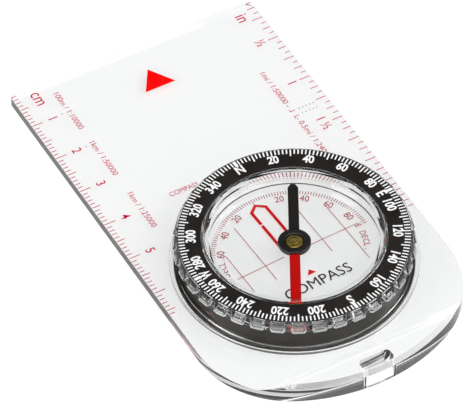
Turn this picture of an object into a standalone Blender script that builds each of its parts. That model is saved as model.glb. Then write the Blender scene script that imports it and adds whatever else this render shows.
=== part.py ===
"""Baseplate compass: a clear plate with a turning dial and a needle that swings inside it.

Frame: +Z up with z = 0 under the plate, +Y towards the direction of travel, and the
origin under the middle of the plate. The dial turns about its own vertical axis, and the
needle swings about the same line.
"""

from math import cos, degrees, pi, radians, sin, sqrt, atan2

import bmesh
import bpy
from mathutils import Matrix

MM = 0.001

# Clearances
GAP = 0.3 * MM              # between pieces that rest on or fit round each other
FINE_GAP = 0.15 * MM        # between the small pieces of the needle's hub
CUT_REACH = 5.0 * MM        # how far a cutting shape runs past what it cuts

# Base plate
PLATE_LENGTH = 98.2 * MM
PLATE_THICKNESS = 2.0 * MM
SIDE_MARGIN = 3.3 * MM      # from the collar to each long edge
REAR_MARGIN = 9.0 * MM      # from the collar to the rear end
FRONT_CORNER_RADIUS = 1.0 * MM
REAR_CORNER_RADIUS = 20.0 * MM
REAR_END_RADIUS = 36.0 * MM
LIP_HEIGHT = 2.0 * MM       # rise of the rear lip above the plate
LIP_LENGTH = 4.4 * MM       # level part of the lip
LIP_CHAMFER = 0.8 * MM
RAMP_START_GAP = 0.4 * MM   # from the collar to the foot of the ramp
RAMP_STEPS = 8

# Lanyard slot through the lip
SLOT_WIDTH = 6.6 * MM
SLOT_DEPTH = 2.6 * MM
SLOT_CORNER = 0.9 * MM
SLOT_WEB = 1.0 * MM         # material left between the slot and the rear end

# Dial, from its printed ring outwards and downwards
SCALE_RADIUS = 21.9 * MM
SCALE_THICKNESS = 0.3 * MM
SCALE_PROUD = 0.1 * MM      # the printed face above the rib tops
RIB_COUNT = 36
GRIP_WIDTH = 0.75 * MM      # from the printed ring's seat out to the rib tops
RIB_DEPTH = 0.42 * MM       # radial height of a rib
RIB_SHARE = 0.56            # part of the pitch that the rib's top takes
RIB_FLANK = 0.07            # part of the pitch that each sloping side takes
GRIP_HEIGHT = 2.2 * MM
GRIP_BEVEL = 0.25 * MM
SCALE_SEAT_DEPTH = 0.5 * MM
CARRIER_HEIGHT = 5.5 * MM
FLANGE_HEIGHT = 0.7 * MM
FLANGE_WIDTH = 0.9 * MM
RECESS_DEPTH = 1.0 * MM     # step in the plate that the flange turns in
BORE_LEDGE = 1.0 * MM       # width of the ledge under the carrier's wall

# Retaining ring
RING_HEIGHT = 0.7 * MM
RING_WIDTH = 1.5 * MM

# Capsule
CAPSULE_RADIUS = 17.3 * MM
CUP_WALL = 1.2 * MM
CUP_FLOOR = 1.2 * MM
CUP_HEIGHT = 8.2 * MM
CAPSULE_LIFT = 0.4 * MM     # capsule floor above the plate's underside
LID_EDGE = 0.7 * MM
LID_RISE = 0.7 * MM
LID_THICKNESS = 0.85 * MM
LID_SHOULDER = 0.45 * MM
BOSS_RADIUS = 1.6 * MM
BOSS_HEIGHT = 1.4 * MM
PLUG_RADIUS = 0.7 * MM
PLUG_HEIGHT = 3.6 * MM      # plug axis above the capsule floor's underside
PLUG_INSET = 0.2 * MM

# Pivot and needle
PIN_RADIUS = 0.35 * MM
PIN_TIP_RADIUS = 0.05 * MM
PIN_CONE = 0.8 * MM
PIN_EMBED = 0.8 * MM        # length of the pin below the boss's top
NEEDLE_LIFT = 3.05 * MM     # underside of the blade above the capsule's floor
NEEDLE_END_GAP = 1.2 * MM   # from the needle's ends to the capsule's wall
BLADE_WIDTH = 2.0 * MM
BLADE_THICKNESS = 0.25 * MM
BLADE_POINT = 0.9 * MM
BLADE_EYE_WIDTH = 1.0 * MM  # width of the ring of steel round the hub's boss
HUB_RADIUS = 3.1 * MM
HUB_DISC = 0.4 * MM
HUB_COLLAR_HEIGHT = 0.3 * MM
HUB_WALL = 0.45 * MM
CAP_STEM_RADIUS = 1.0 * MM
CAP_FLANGE_HEIGHT = 0.2 * MM
CAP_CROWN_RADIUS = 0.8 * MM
CAP_CROWN_HEIGHT = 0.2 * MM
CAP_BORE_RADIUS = 0.6 * MM
CAP_ROOF = 0.35 * MM
JEWEL_HEIGHT = 0.5 * MM
JEWEL_DIMPLE = 0.2 * MM

# Headings at rest, in degrees clockwise from the direction of travel
DIAL_HEADING = -2.4
NEEDLE_HEADING = 28.5

ROUND = 96                  # segments of the large turned pieces
SMALL_ROUND = 32            # segments of the hub's pieces
ARC_STEPS = 12
DOME_STEPS = 5

# Sizes that follow from the ones above
WALL_RADIUS = SCALE_RADIUS
FLANGE_RADIUS = WALL_RADIUS + FLANGE_WIDTH
RING_INNER_RADIUS = WALL_RADIUS + GAP
RING_OUTER_RADIUS = RING_INNER_RADIUS + RING_WIDTH
RECESS_RADIUS = FLANGE_RADIUS + GAP
PLATE_BORE_RADIUS = WALL_RADIUS - BORE_LEDGE
PLATE_WIDTH = 2 * (RING_OUTER_RADIUS + SIDE_MARGIN)
REAR_Y = -PLATE_LENGTH / 2
FRONT_Y = PLATE_LENGTH / 2
DIAL_Y = REAR_Y + REAR_MARGIN + RING_OUTER_RADIUS
LIP_TOP = PLATE_THICKNESS + LIP_HEIGHT
RAMP_FOOT_Y = REAR_Y + REAR_MARGIN - RAMP_START_GAP
RAMP_HEAD_Y = REAR_Y + LIP_LENGTH

RECESS_FLOOR_Z = PLATE_THICKNESS - RECESS_DEPTH
CARRIER_Z = RECESS_FLOOR_Z + GAP
CARRIER_TOP_Z = CARRIER_Z + CARRIER_HEIGHT
GRIP_Z = CARRIER_TOP_Z + GAP
GRIP_TOP_Z = GRIP_Z + GRIP_HEIGHT
SCALE_TOP_Z = GRIP_TOP_Z + SCALE_PROUD
SCALE_Z = SCALE_TOP_Z - SCALE_THICKNESS
SEAT_RADIUS = SCALE_RADIUS + GAP
SEAT_Z = GRIP_TOP_Z - SCALE_SEAT_DEPTH
RIB_TIP_RADIUS = SEAT_RADIUS + GRIP_WIDTH
RIB_ROOT_RADIUS = RIB_TIP_RADIUS - RIB_DEPTH
DIAL_BORE_RADIUS = CAPSULE_RADIUS + GAP

CAPSULE_FLOOR_Z = CAPSULE_LIFT + CUP_FLOOR
CUP_INNER_RADIUS = CAPSULE_RADIUS - CUP_WALL
CUP_TOP_Z = CAPSULE_LIFT + CUP_HEIGHT
LID_Z = CUP_TOP_Z + GAP
LID_EDGE_Z = LID_Z + LID_EDGE
LID_TOP_Z = LID_EDGE_Z + LID_RISE
BOSS_TOP_Z = CAPSULE_FLOOR_Z + BOSS_HEIGHT
PLUG_Z = CAPSULE_LIFT + PLUG_HEIGHT

BLADE_Z = CAPSULE_FLOOR_Z + NEEDLE_LIFT
BLADE_HALF = CUP_INNER_RADIUS - NEEDLE_END_GAP
HUB_DISC_TOP_Z = BLADE_Z - FINE_GAP
HUB_Z = HUB_DISC_TOP_Z - HUB_DISC
HUB_BORE_RADIUS = CAP_STEM_RADIUS + FINE_GAP
HUB_BOSS_RADIUS = HUB_BORE_RADIUS + HUB_WALL
BLADE_EYE_RADIUS = HUB_BOSS_RADIUS + FINE_GAP
COLLAR_Z = BLADE_Z + BLADE_THICKNESS + FINE_GAP
COLLAR_TOP_Z = COLLAR_Z + HUB_COLLAR_HEIGHT
HUB_BOSS_TOP_Z = BLADE_Z + BLADE_THICKNESS
CAP_FLANGE_RADIUS = HUB_BOSS_RADIUS
CAP_FLANGE_Z = HUB_BOSS_TOP_Z + FINE_GAP
CAP_CROWN_Z = CAP_FLANGE_Z + CAP_FLANGE_HEIGHT
CAP_TOP_Z = CAP_CROWN_Z + CAP_CROWN_HEIGHT
CAP_ROOF_Z = CAP_TOP_Z - CAP_ROOF
JEWEL_RADIUS = CAP_BORE_RADIUS - FINE_GAP
JEWEL_TOP_Z = CAP_ROOF_Z - FINE_GAP
JEWEL_Z = JEWEL_TOP_Z - JEWEL_HEIGHT
PIN_TIP_Z = JEWEL_Z - FINE_GAP
PIN_Z = BOSS_TOP_Z - PIN_EMBED
PIN_HOLE_RADIUS = PIN_RADIUS + FINE_GAP


def clear_scene():
    """Removes every object that the file starts with."""
    for thing in list(bpy.data.objects):
        bpy.data.objects.remove(thing, do_unlink=True)


def make_material(name, colour, roughness, metallic=0.0, alpha=1.0):
    """Returns a Principled material of one colour."""
    material = bpy.data.materials.new(name)
    material.use_nodes = True
    shader = material.node_tree.nodes["Principled BSDF"]
    shader.inputs["Base Color"].default_value = (*colour, 1.0)
    shader.inputs["Roughness"].default_value = roughness
    shader.inputs["Metallic"].default_value = metallic
    shader.inputs["Alpha"].default_value = alpha
    return material


def make_pivot(name, parent=None):
    """Returns an empty on the axis that the dial and the needle share."""
    pivot = bpy.data.objects.new(name, None)
    bpy.context.collection.objects.link(pivot)
    if parent is None:
        pivot.location = (0.0, DIAL_Y, 0.0)
    else:
        pivot.parent = parent
    return pivot


def add_object(name, bm, material, parent=None, smooth_below=35.0):
    """Puts a finished bmesh in the scene as one named sub-part."""
    bmesh.ops.remove_doubles(bm, verts=bm.verts, dist=1e-7)
    bmesh.ops.recalc_face_normals(bm, faces=bm.faces)
    mesh = bpy.data.meshes.new(name)
    bm.to_mesh(mesh)
    bm.free()
    mesh.shade_smooth()
    mesh.set_sharp_from_angle(angle=radians(smooth_below))
    if material is not None:
        mesh.materials.append(material)
    thing = bpy.data.objects.new(name, mesh)
    thing.parent = parent
    bpy.context.collection.objects.link(thing)
    return thing


def turned(profile, segments):
    """Returns a bmesh of a closed (radius, z) outline turned round the Z axis."""
    bm = bmesh.new()
    verts = [bm.verts.new((r, 0.0, z)) for r, z in profile]
    sides = zip(verts, verts[1:] + verts[:1])
    edges = [bm.edges.new((a, b)) for a, b in sides if a.co.x + b.co.x > 0]
    bmesh.ops.spin(
        bm, geom=verts + edges, cent=(0, 0, 0), axis=(0, 0, 1),
        angle=2 * pi, steps=segments, use_merge=False, use_duplicate=False)
    return bm


def extruded(outline, z_low, z_high):
    """Returns a bmesh of a closed (x, y) outline extruded from z_low to z_high."""
    bm = bmesh.new()
    face = bm.faces.new([bm.verts.new((x, y, z_low)) for x, y in outline])
    result = bmesh.ops.extrude_face_region(bm, geom=[face])
    top = [item for item in result["geom"] if isinstance(item, bmesh.types.BMVert)]
    bmesh.ops.translate(bm, verts=top, vec=(0, 0, z_high - z_low))
    return bm


def arc(centre, radius, start, end, steps=ARC_STEPS):
    """Returns points of an arc between two angles in degrees, both ends included."""
    turn = [radians(start + (end - start) * i / steps) for i in range(steps + 1)]
    return [(centre[0] + radius * cos(a), centre[1] + radius * sin(a)) for a in turn]


def ring_profile(inner, outer, low, high):
    """Returns the outline of a plain ring's section."""
    return [(inner, low), (outer, low), (outer, high), (inner, high)]


def make_cutter(name, bm, parent=None):
    """Returns a hidden object that only cuts others."""
    cutter = add_object(name, bm, None, parent)
    cutter.hide_render = True
    cutter.display_type = "WIRE"
    return cutter


def cut(target, cutter):
    """Takes the cutter's shape away from the target."""
    step = target.modifiers.new(cutter.name, "BOOLEAN")
    step.operation = "DIFFERENCE"
    step.solver = "EXACT"
    step.object = cutter


def plate_outline():
    """Returns the plate seen from above: square front, rounded rear end."""
    half = PLATE_WIDTH / 2
    end_y = REAR_Y + REAR_END_RADIUS
    corner_x = half - REAR_CORNER_RADIUS
    corner_y = end_y - sqrt((REAR_END_RADIUS - REAR_CORNER_RADIUS) ** 2 - corner_x ** 2)
    touch = degrees(atan2(corner_y - end_y, corner_x))
    front_x = half - FRONT_CORNER_RADIUS
    front_y = FRONT_Y - FRONT_CORNER_RADIUS
    points = arc((front_x, front_y), FRONT_CORNER_RADIUS, 0, 90, 4)
    points += arc((-front_x, front_y), FRONT_CORNER_RADIUS, 90, 180, 4)
    points += arc((-corner_x, corner_y), REAR_CORNER_RADIUS, -180, -180 - touch)
    points += arc((0, end_y), REAR_END_RADIUS, -180 - touch, touch)[1:-1]
    points += arc((corner_x, corner_y), REAR_CORNER_RADIUS, touch, 0)
    return points


def ramp_outline():
    """Returns the side view, as (y, z), of what is taken off above the plate."""
    points = [(FRONT_Y + CUT_REACH, PLATE_THICKNESS)]
    for i in range(RAMP_STEPS):
        share = i / RAMP_STEPS
        eased = share * share * (3 - 2 * share)
        y = RAMP_FOOT_Y + (RAMP_HEAD_Y - RAMP_FOOT_Y) * share
        points.append((y, PLATE_THICKNESS + LIP_HEIGHT * eased))
    points.append((RAMP_HEAD_Y, LIP_TOP + CUT_REACH))
    points.append((FRONT_Y + CUT_REACH, LIP_TOP + CUT_REACH))
    return points


def slot_outline():
    """Returns the lanyard slot seen from above, with rounded corners."""
    half = SLOT_WIDTH / 2 - SLOT_CORNER
    low = REAR_Y + SLOT_WEB + SLOT_CORNER
    high = REAR_Y + SLOT_WEB + SLOT_DEPTH - SLOT_CORNER
    points = arc((half, high), SLOT_CORNER, 0, 90, 6)
    points += arc((-half, high), SLOT_CORNER, 90, 180, 6)
    points += arc((-half, low), SLOT_CORNER, 180, 270, 6)
    points += arc((half, low), SLOT_CORNER, 270, 360, 6)
    return points


def build_base_plate(material, dial_pivot):
    """The clear plate: chamfered lip at the rear, stepped bore and lanyard slot."""
    bm = extruded(plate_outline(), 0.0, LIP_TOP)
    rim = [edge for edge in bm.edges if all(v.co.z > LIP_TOP / 2 for v in edge.verts)]
    bmesh.ops.bevel(bm, geom=rim, offset=LIP_CHAMFER, segments=1, affect="EDGES")
    plate = add_object("base_plate", bm, material)

    over = extruded(ramp_outline(), -PLATE_WIDTH, PLATE_WIDTH)
    stand_up = Matrix(((0, 0, 1), (1, 0, 0), (0, 1, 0))).to_4x4()
    bmesh.ops.transform(over, verts=over.verts, matrix=stand_up)
    cut(plate, make_cutter("cut_ramp", over))

    bore = [
        (0.0, -CUT_REACH), (PLATE_BORE_RADIUS, -CUT_REACH),
        (PLATE_BORE_RADIUS, RECESS_FLOOR_Z), (RECESS_RADIUS, RECESS_FLOOR_Z),
        (RECESS_RADIUS, LIP_TOP + CUT_REACH), (0.0, LIP_TOP + CUT_REACH)]
    cut(plate, make_cutter("cut_bore", turned(bore, ROUND), dial_pivot))
    slot = extruded(slot_outline(), -CUT_REACH, LIP_TOP + CUT_REACH)
    cut(plate, make_cutter("cut_lanyard_slot", slot))
    return plate


def build_retaining_ring(material, dial_pivot):
    """The clear collar, fixed on the plate, whose inner edge covers the flange."""
    low = PLATE_THICKNESS + GAP
    high = low + RING_HEIGHT
    bevel = RING_HEIGHT / 3
    profile = [
        (RING_INNER_RADIUS, low), (RING_OUTER_RADIUS, low),
        (RING_OUTER_RADIUS, high - bevel), (RING_OUTER_RADIUS - bevel, high),
        (RING_INNER_RADIUS, high)]
    return add_object("retaining_ring", turned(profile, ROUND), material, dial_pivot)


def build_dial_carrier(material, dial_pivot):
    """The black ring that turns in the plate and carries the grip and the capsule."""
    flange_top = CARRIER_Z + FLANGE_HEIGHT
    profile = [
        (DIAL_BORE_RADIUS, CARRIER_Z), (FLANGE_RADIUS, CARRIER_Z),
        (FLANGE_RADIUS, flange_top), (WALL_RADIUS, flange_top),
        (WALL_RADIUS, CARRIER_TOP_Z), (DIAL_BORE_RADIUS, CARRIER_TOP_Z)]
    return add_object("dial_carrier", turned(profile, ROUND), material, dial_pivot)


def rib_outline():
    """Returns the grip's outer edge seen from above, rib by rib."""
    pitch = 360 / RIB_COUNT
    top = pitch * RIB_SHARE
    flank = pitch * RIB_FLANK
    root = pitch - top - 2 * flank
    points = []
    for i in range(RIB_COUNT):
        start = 90 - DIAL_HEADING + i * pitch - top / 2
        points += arc((0, 0), RIB_TIP_RADIUS, start, start + top, 2)
        foot = start + top + flank
        points += arc((0, 0), RIB_ROOT_RADIUS, foot, foot + root, 1)
    return points


def build_grip_ring(material, dial_pivot):
    """The clear castellated ring, with a seat for the printed ring on top."""
    bm = extruded(rib_outline(), GRIP_Z, GRIP_TOP_Z)
    caps = [edge for edge in bm.edges if len({round(v.co.z / MM, 3) for v in edge.verts}) == 1]
    bmesh.ops.bevel(bm, geom=caps, offset=GRIP_BEVEL, segments=1, affect="EDGES")
    grip = add_object("grip_ring", bm, material, dial_pivot)
    profile = [
        (0.0, GRIP_Z - CUT_REACH), (DIAL_BORE_RADIUS, GRIP_Z - CUT_REACH),
        (DIAL_BORE_RADIUS, SEAT_Z), (SEAT_RADIUS, SEAT_Z),
        (SEAT_RADIUS, GRIP_TOP_Z + CUT_REACH), (0.0, GRIP_TOP_Z + CUT_REACH)]
    cut(grip, make_cutter("cut_grip", turned(profile, ROUND), dial_pivot))
    return grip


def build_numeral_ring(material, dial_pivot):
    """The thin black ring that carries the degree scale."""
    profile = ring_profile(DIAL_BORE_RADIUS, SCALE_RADIUS, SCALE_Z, SCALE_TOP_Z)
    return add_object("numeral_ring", turned(profile, ROUND), material, dial_pivot)


def build_capsule_cup(material, dial_pivot):
    """The cup: floor, side wall, and a boss in the middle for the pivot pin."""
    profile = [
        (0.0, CAPSULE_LIFT), (CAPSULE_RADIUS, CAPSULE_LIFT), (CAPSULE_RADIUS, CUP_TOP_Z),
        (CUP_INNER_RADIUS, CUP_TOP_Z), (CUP_INNER_RADIUS, CAPSULE_FLOOR_Z),
        (BOSS_RADIUS, CAPSULE_FLOOR_Z), (BOSS_RADIUS, BOSS_TOP_Z),
        (PIN_HOLE_RADIUS, BOSS_TOP_Z), (PIN_HOLE_RADIUS, PIN_Z - GAP), (0.0, PIN_Z - GAP)]
    cup = add_object("capsule_cup", turned(profile, ROUND), material, dial_pivot)
    hole = bmesh.new()
    bmesh.ops.create_cone(
        hole, cap_ends=True, segments=SMALL_ROUND, radius1=PLUG_RADIUS + FINE_GAP,
        radius2=PLUG_RADIUS + FINE_GAP, depth=CUP_WALL + CUT_REACH)
    cut(cup, place_in_wall(make_cutter("cut_filler_hole", hole, dial_pivot)))
    return cup


def place_in_wall(thing):
    """Turns an upright round piece to lie in the cup's rear wall."""
    thing.rotation_euler = (radians(90), 0, 0)
    thing.location = (0, -(CAPSULE_RADIUS - CUP_WALL / 2), PLUG_Z)
    return thing


def build_filler_plug(material, dial_pivot):
    """The plug that closes the hole through which the capsule is filled."""
    bm = bmesh.new()
    bmesh.ops.create_cone(
        bm, cap_ends=True, segments=SMALL_ROUND, radius1=PLUG_RADIUS,
        radius2=PLUG_RADIUS, depth=CUP_WALL - 2 * PLUG_INSET)
    return place_in_wall(add_object("filler_plug", bm, material, dial_pivot))


def dome(radius, rim_z, rise):
    """Returns (r, z) points of a shallow dome from its rim to its middle."""
    sphere = (radius ** 2 + rise ** 2) / (2 * rise)
    points = []
    for i in range(DOME_STEPS):
        r = radius * (1 - i / DOME_STEPS)
        points.append((r, rim_z + rise - sphere + sqrt(sphere ** 2 - r ** 2)))
    return points + [(0.0, rim_z + rise)]


def build_capsule_lid(material, dial_pivot):
    """The domed lens that closes the cup."""
    outer_rim = CAPSULE_RADIUS - LID_SHOULDER
    shoulder_z = LID_EDGE_Z - LID_SHOULDER
    profile = [(CAPSULE_RADIUS, LID_Z)]
    profile += arc((outer_rim, shoulder_z), LID_SHOULDER, 0, 90, 3)
    profile += dome(outer_rim, LID_EDGE_Z, LID_RISE)[1:]
    under_rise = LID_TOP_Z - LID_THICKNESS - LID_Z
    profile += reversed(dome(CUP_INNER_RADIUS, LID_Z, under_rise))
    return add_object("capsule_lid", turned(profile, ROUND), material, dial_pivot)


def build_pivot_pin(material, dial_pivot):
    """The steel pin with a hard point on which the needle turns."""
    profile = [
        (0.0, PIN_Z), (PIN_RADIUS, PIN_Z), (PIN_RADIUS, PIN_TIP_Z - PIN_CONE),
        (PIN_TIP_RADIUS, PIN_TIP_Z), (0.0, PIN_TIP_Z)]
    return add_object("pivot_pin", turned(profile, SMALL_ROUND), material, dial_pivot)


def blade_outline():
    """Returns the needle seen from above, its blunt point towards +Y."""
    half = BLADE_WIDTH / 2
    eye = BLADE_EYE_RADIUS + BLADE_EYE_WIDTH
    joint = degrees(atan2(sqrt(eye ** 2 - half ** 2), half))
    points = [(half, -BLADE_HALF)]
    points += arc((0, 0), eye, -joint, joint, 16)
    points += [(half, BLADE_HALF - BLADE_POINT), (half / 2, BLADE_HALF)]
    points += [(-half / 2, BLADE_HALF), (-half, BLADE_HALF - BLADE_POINT)]
    points += arc((0, 0), eye, 180 - joint, 180 + joint, 16)
    points.append((-half, -BLADE_HALF))
    return points


def build_needle_blade(material, needle_pivot):
    """The magnetised strip, with an eye in the middle for the hub."""
    top = BLADE_Z + BLADE_THICKNESS
    blade = add_object(
        "needle_blade", extruded(blade_outline(), BLADE_Z, top), material, needle_pivot)
    eye = [
        (0.0, BLADE_Z - CUT_REACH), (BLADE_EYE_RADIUS, BLADE_Z - CUT_REACH),
        (BLADE_EYE_RADIUS, top + CUT_REACH), (0.0, top + CUT_REACH)]
    cut(blade, make_cutter("cut_needle_eye", turned(eye, SMALL_ROUND), needle_pivot))
    return blade


def build_hub_base(material, needle_pivot):
    """The disc under the blade, with the boss that the cap sits in."""
    profile = [
        (HUB_BORE_RADIUS, HUB_Z), (HUB_RADIUS, HUB_Z), (HUB_RADIUS, HUB_DISC_TOP_Z),
        (HUB_BOSS_RADIUS, HUB_DISC_TOP_Z), (HUB_BOSS_RADIUS, HUB_BOSS_TOP_Z),
        (HUB_BORE_RADIUS, HUB_BOSS_TOP_Z)]
    return add_object("hub_base", turned(profile, SMALL_ROUND), material, needle_pivot)


def build_hub_collar(material, needle_pivot):
    """The ring pressed on the boss, which clamps the blade from above."""
    bevel = HUB_COLLAR_HEIGHT / 3
    profile = [
        (BLADE_EYE_RADIUS, COLLAR_Z), (HUB_RADIUS, COLLAR_Z),
        (HUB_RADIUS, COLLAR_TOP_Z - bevel), (HUB_RADIUS - bevel, COLLAR_TOP_Z),
        (BLADE_EYE_RADIUS, COLLAR_TOP_Z)]
    return add_object("hub_collar", turned(profile, SMALL_ROUND), material, needle_pivot)


def build_bearing_cap(material, needle_pivot):
    """The stepped brass cap, hollow from below, that holds the jewel."""
    profile = [
        (CAP_BORE_RADIUS, HUB_Z), (CAP_STEM_RADIUS, HUB_Z), (CAP_STEM_RADIUS, CAP_FLANGE_Z),
        (CAP_FLANGE_RADIUS, CAP_FLANGE_Z), (CAP_FLANGE_RADIUS, CAP_CROWN_Z),
        (CAP_CROWN_RADIUS, CAP_CROWN_Z), (CAP_CROWN_RADIUS, CAP_TOP_Z), (0.0, CAP_TOP_Z),
        (0.0, CAP_ROOF_Z), (CAP_BORE_RADIUS, CAP_ROOF_Z)]
    return add_object("bearing_cap", turned(profile, SMALL_ROUND), material, needle_pivot)


def build_jewel(material, needle_pivot):
    """The jewel, dimpled below where the pin's point runs."""
    profile = [
        (0.0, JEWEL_Z + JEWEL_DIMPLE), (JEWEL_RADIUS / 2, JEWEL_Z), (JEWEL_RADIUS, JEWEL_Z),
        (JEWEL_RADIUS, JEWEL_TOP_Z), (0.0, JEWEL_TOP_Z)]
    return add_object("jewel_bearing", turned(profile, SMALL_ROUND), material, needle_pivot)


def main():
    """Builds the compass, body by body."""
    clear_scene()
    clear = make_material("clear_acrylic", (0.93, 0.95, 0.95), 0.03, alpha=0.3)
    black = make_material("black_moulding", (0.02, 0.018, 0.016), 0.4)
    ink = make_material("black_scale", (0.015, 0.013, 0.012), 0.3)
    red = make_material("red_steel", (0.75, 0.01, 0.01), 0.35)
    brass = make_material("brass", (0.72, 0.52, 0.16), 0.3, metallic=1.0)
    steel = make_material("hard_steel", (0.6, 0.6, 0.6), 0.25, metallic=1.0)
    jewel = make_material("jewel", (0.9, 0.75, 0.8), 0.05, alpha=0.5)

    dial_pivot = make_pivot("dial_pivot")
    build_base_plate(clear, dial_pivot)
    build_retaining_ring(clear, dial_pivot)

    build_dial_carrier(black, dial_pivot)
    build_grip_ring(clear, dial_pivot)
    build_numeral_ring(ink, dial_pivot)
    build_capsule_cup(clear, dial_pivot)
    build_capsule_lid(clear, dial_pivot)
    build_filler_plug(clear, dial_pivot)
    build_pivot_pin(steel, dial_pivot)

    needle_pivot = make_pivot("needle_pivot", dial_pivot)
    needle_pivot.rotation_euler = (0, 0, radians(-NEEDLE_HEADING))
    build_needle_blade(red, needle_pivot)
    build_hub_base(black, needle_pivot)
    build_hub_collar(black, needle_pivot)
    build_bearing_cap(brass, needle_pivot)
    build_jewel(jewel, needle_pivot)


main()
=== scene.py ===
"""Looks of the baseplate compass: clear plate, turning dial, liquid capsule and needle.

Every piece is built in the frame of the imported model, in metres, and rides on the body of
the solid that it stands for: the plate, the dial or the needle. The headings below are the
ones at which the dial and the needle lie at rest, clockwise from the direction of travel.
"""

from __future__ import annotations

import logging
from collections.abc import Iterable, Sequence
from dataclasses import dataclass, field
from enum import Enum
from math import atan2, cos, degrees, hypot, pi, radians, sin, sqrt, tan

import bmesh
import bpy
from bmesh.types import BMesh
from bpy.types import Material, Node, NodeSocket, NodeTree, Object
from mathutils import Matrix, Vector

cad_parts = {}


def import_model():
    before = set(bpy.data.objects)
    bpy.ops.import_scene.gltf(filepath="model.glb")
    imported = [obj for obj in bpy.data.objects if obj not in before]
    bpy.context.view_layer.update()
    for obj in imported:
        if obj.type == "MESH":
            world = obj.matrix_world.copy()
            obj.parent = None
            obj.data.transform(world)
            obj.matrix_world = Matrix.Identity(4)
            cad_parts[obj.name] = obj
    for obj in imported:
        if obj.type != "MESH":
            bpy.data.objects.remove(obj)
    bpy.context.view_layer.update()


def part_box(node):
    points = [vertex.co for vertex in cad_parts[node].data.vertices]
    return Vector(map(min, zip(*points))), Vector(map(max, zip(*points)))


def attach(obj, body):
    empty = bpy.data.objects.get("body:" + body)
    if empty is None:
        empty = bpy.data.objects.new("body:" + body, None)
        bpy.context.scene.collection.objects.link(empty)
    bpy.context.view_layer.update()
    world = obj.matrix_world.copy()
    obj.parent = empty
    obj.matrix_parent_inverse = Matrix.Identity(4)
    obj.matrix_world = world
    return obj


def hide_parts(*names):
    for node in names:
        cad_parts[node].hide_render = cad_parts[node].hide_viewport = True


Point = tuple[float, float]
Colour = tuple[float, float, float]
Parts = list[tuple[BMesh, Matrix]]

LOG = logging.getLogger("baseplate_compass")

MM = 0.001
INCH = 25.4 * MM
DIAL_HEADING = -2.4
NEEDLE_HEADING = 28.5
PRINT_DEPTH = 0.02 * MM
PRINT_CLEAR = 0.01 * MM
WELD_GAP = 0.01 * MM
ROUND_SEGMENTS = 256
NEEDLE_SEGMENTS = 96
SMALL_SEGMENTS = 48
WIDE_FACE_WEIGHT = 95
LETTER_SQUEEZE = 0.86
PLAIN_WORD = "COMPASS"

FLOAT = "NodeSocketFloat"
WHOLE = "NodeSocketInt"
SHAPE = "NodeSocketGeometry"
FINISH = "NodeSocketMaterial"


class Body(Enum):
    """The moving bodies of the compass."""

    PLATE = "plate"
    DIAL = "dial"
    NEEDLE = "needle"


class Layout(Enum):
    """How a set of graduation ticks is laid out."""

    STRAIGHT = "straight"
    ROUND = "round"


# ---------------------------------------------------------------- node trees


class Bench:
    """Adds nodes to one node tree and joins them up."""

    def __init__(self, tree: NodeTree) -> None:
        """Keeps the tree that is worked on."""
        self.tree = tree

    def add(self, kind: str, inputs: dict | None = None, **settings: object) -> Node:
        """Adds one node.

        Args:
            kind: Blender's name of the node type.
            inputs: what each input gets, by name or number: a socket or a value.
            **settings: properties of the node itself.

        Returns:
            The new node.
        """
        node = self.tree.nodes.new(kind)
        for key, value in settings.items():
            setattr(node, key, value)
        self.fit(node, inputs or {})
        return node

    def feed(self, socket: NodeSocket, value: object) -> None:
        """Joins a socket to another, or sets its value. A colour is given without its alpha."""
        if isinstance(value, NodeSocket):
            self.tree.links.new(value, socket)
        else:
            socket.default_value = (*value, 1.0) if socket.type == "RGBA" else value

    def fit(self, node: Node, inputs: dict) -> None:
        """Feeds several inputs of a node, by name or number."""
        for key, value in inputs.items():
            self.feed(node.inputs[key], value)

    def calc(self, operation: str, first: object, second: object = None) -> NodeSocket:
        """Adds one arithmetic node and returns its result."""
        inputs = {0: first} if second is None else {0: first, 1: second}
        return self.add("ShaderNodeMath", inputs, operation=operation).outputs[0]

    def blend(self, share: object, first: object, second: object) -> NodeSocket:
        """Adds one colour mix and returns its result."""
        return self.add("ShaderNodeMix", {0: share, 6: first, 7: second}, data_type="RGBA").outputs[2]

    def remap(self, value: object, low: float, high: float, bottom: object, top: object) -> NodeSocket:
        """Maps low..high to bottom..top, held at both ends, and returns the result."""
        names = {"Value": value, "From Min": low, "From Max": high, "To Min": bottom, "To Max": top}
        return self.add("ShaderNodeMapRange", names).outputs["Result"]

    def here(self) -> NodeSocket:
        """Adds the piece's own coordinates and returns them."""
        return self.add("ShaderNodeTexCoord").outputs["Object"]

    def noise(self, place: NodeSocket, scale: object, detail: float) -> NodeSocket:
        """Adds one noise pattern and returns its value, 0 to 1."""
        inputs = {"Vector": place, "Scale": scale, "Detail": detail}
        return self.add("ShaderNodeTexNoise", inputs).outputs["Fac"]

    def vector(self, x: object, y: object, z: object) -> NodeSocket:
        """Adds one vector made of its three parts and returns it."""
        return self.add("ShaderNodeCombineXYZ", {"X": x, "Y": y, "Z": z}).outputs[0]

    def compare(self, first: object, second: object, operation: str) -> NodeSocket:
        """Adds one test of two numbers and returns its outcome."""
        inputs = {"A": first, "B": second}
        return self.add("FunctionNodeCompare", inputs, data_type="FLOAT", operation=operation).outputs[0]

    def group(self, tree: NodeTree, **inputs: object) -> Node:
        """Places a shared effect with its own values, its inputs' names written with underscores."""
        named = {label.replace("_", " ").title(): value for label, value in inputs.items()}
        return self.add("ShaderNodeGroup", named, node_tree=tree)

    def bump(self, shader: Node, height: NodeSocket, strength: float, depth: float) -> None:
        """Lets a height pattern lean the surface."""
        lean = self.add("ShaderNodeBump", {"Height": height, "Strength": strength, "Distance": depth})
        self.feed(shader.inputs["Normal"], lean.outputs[0])


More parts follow.
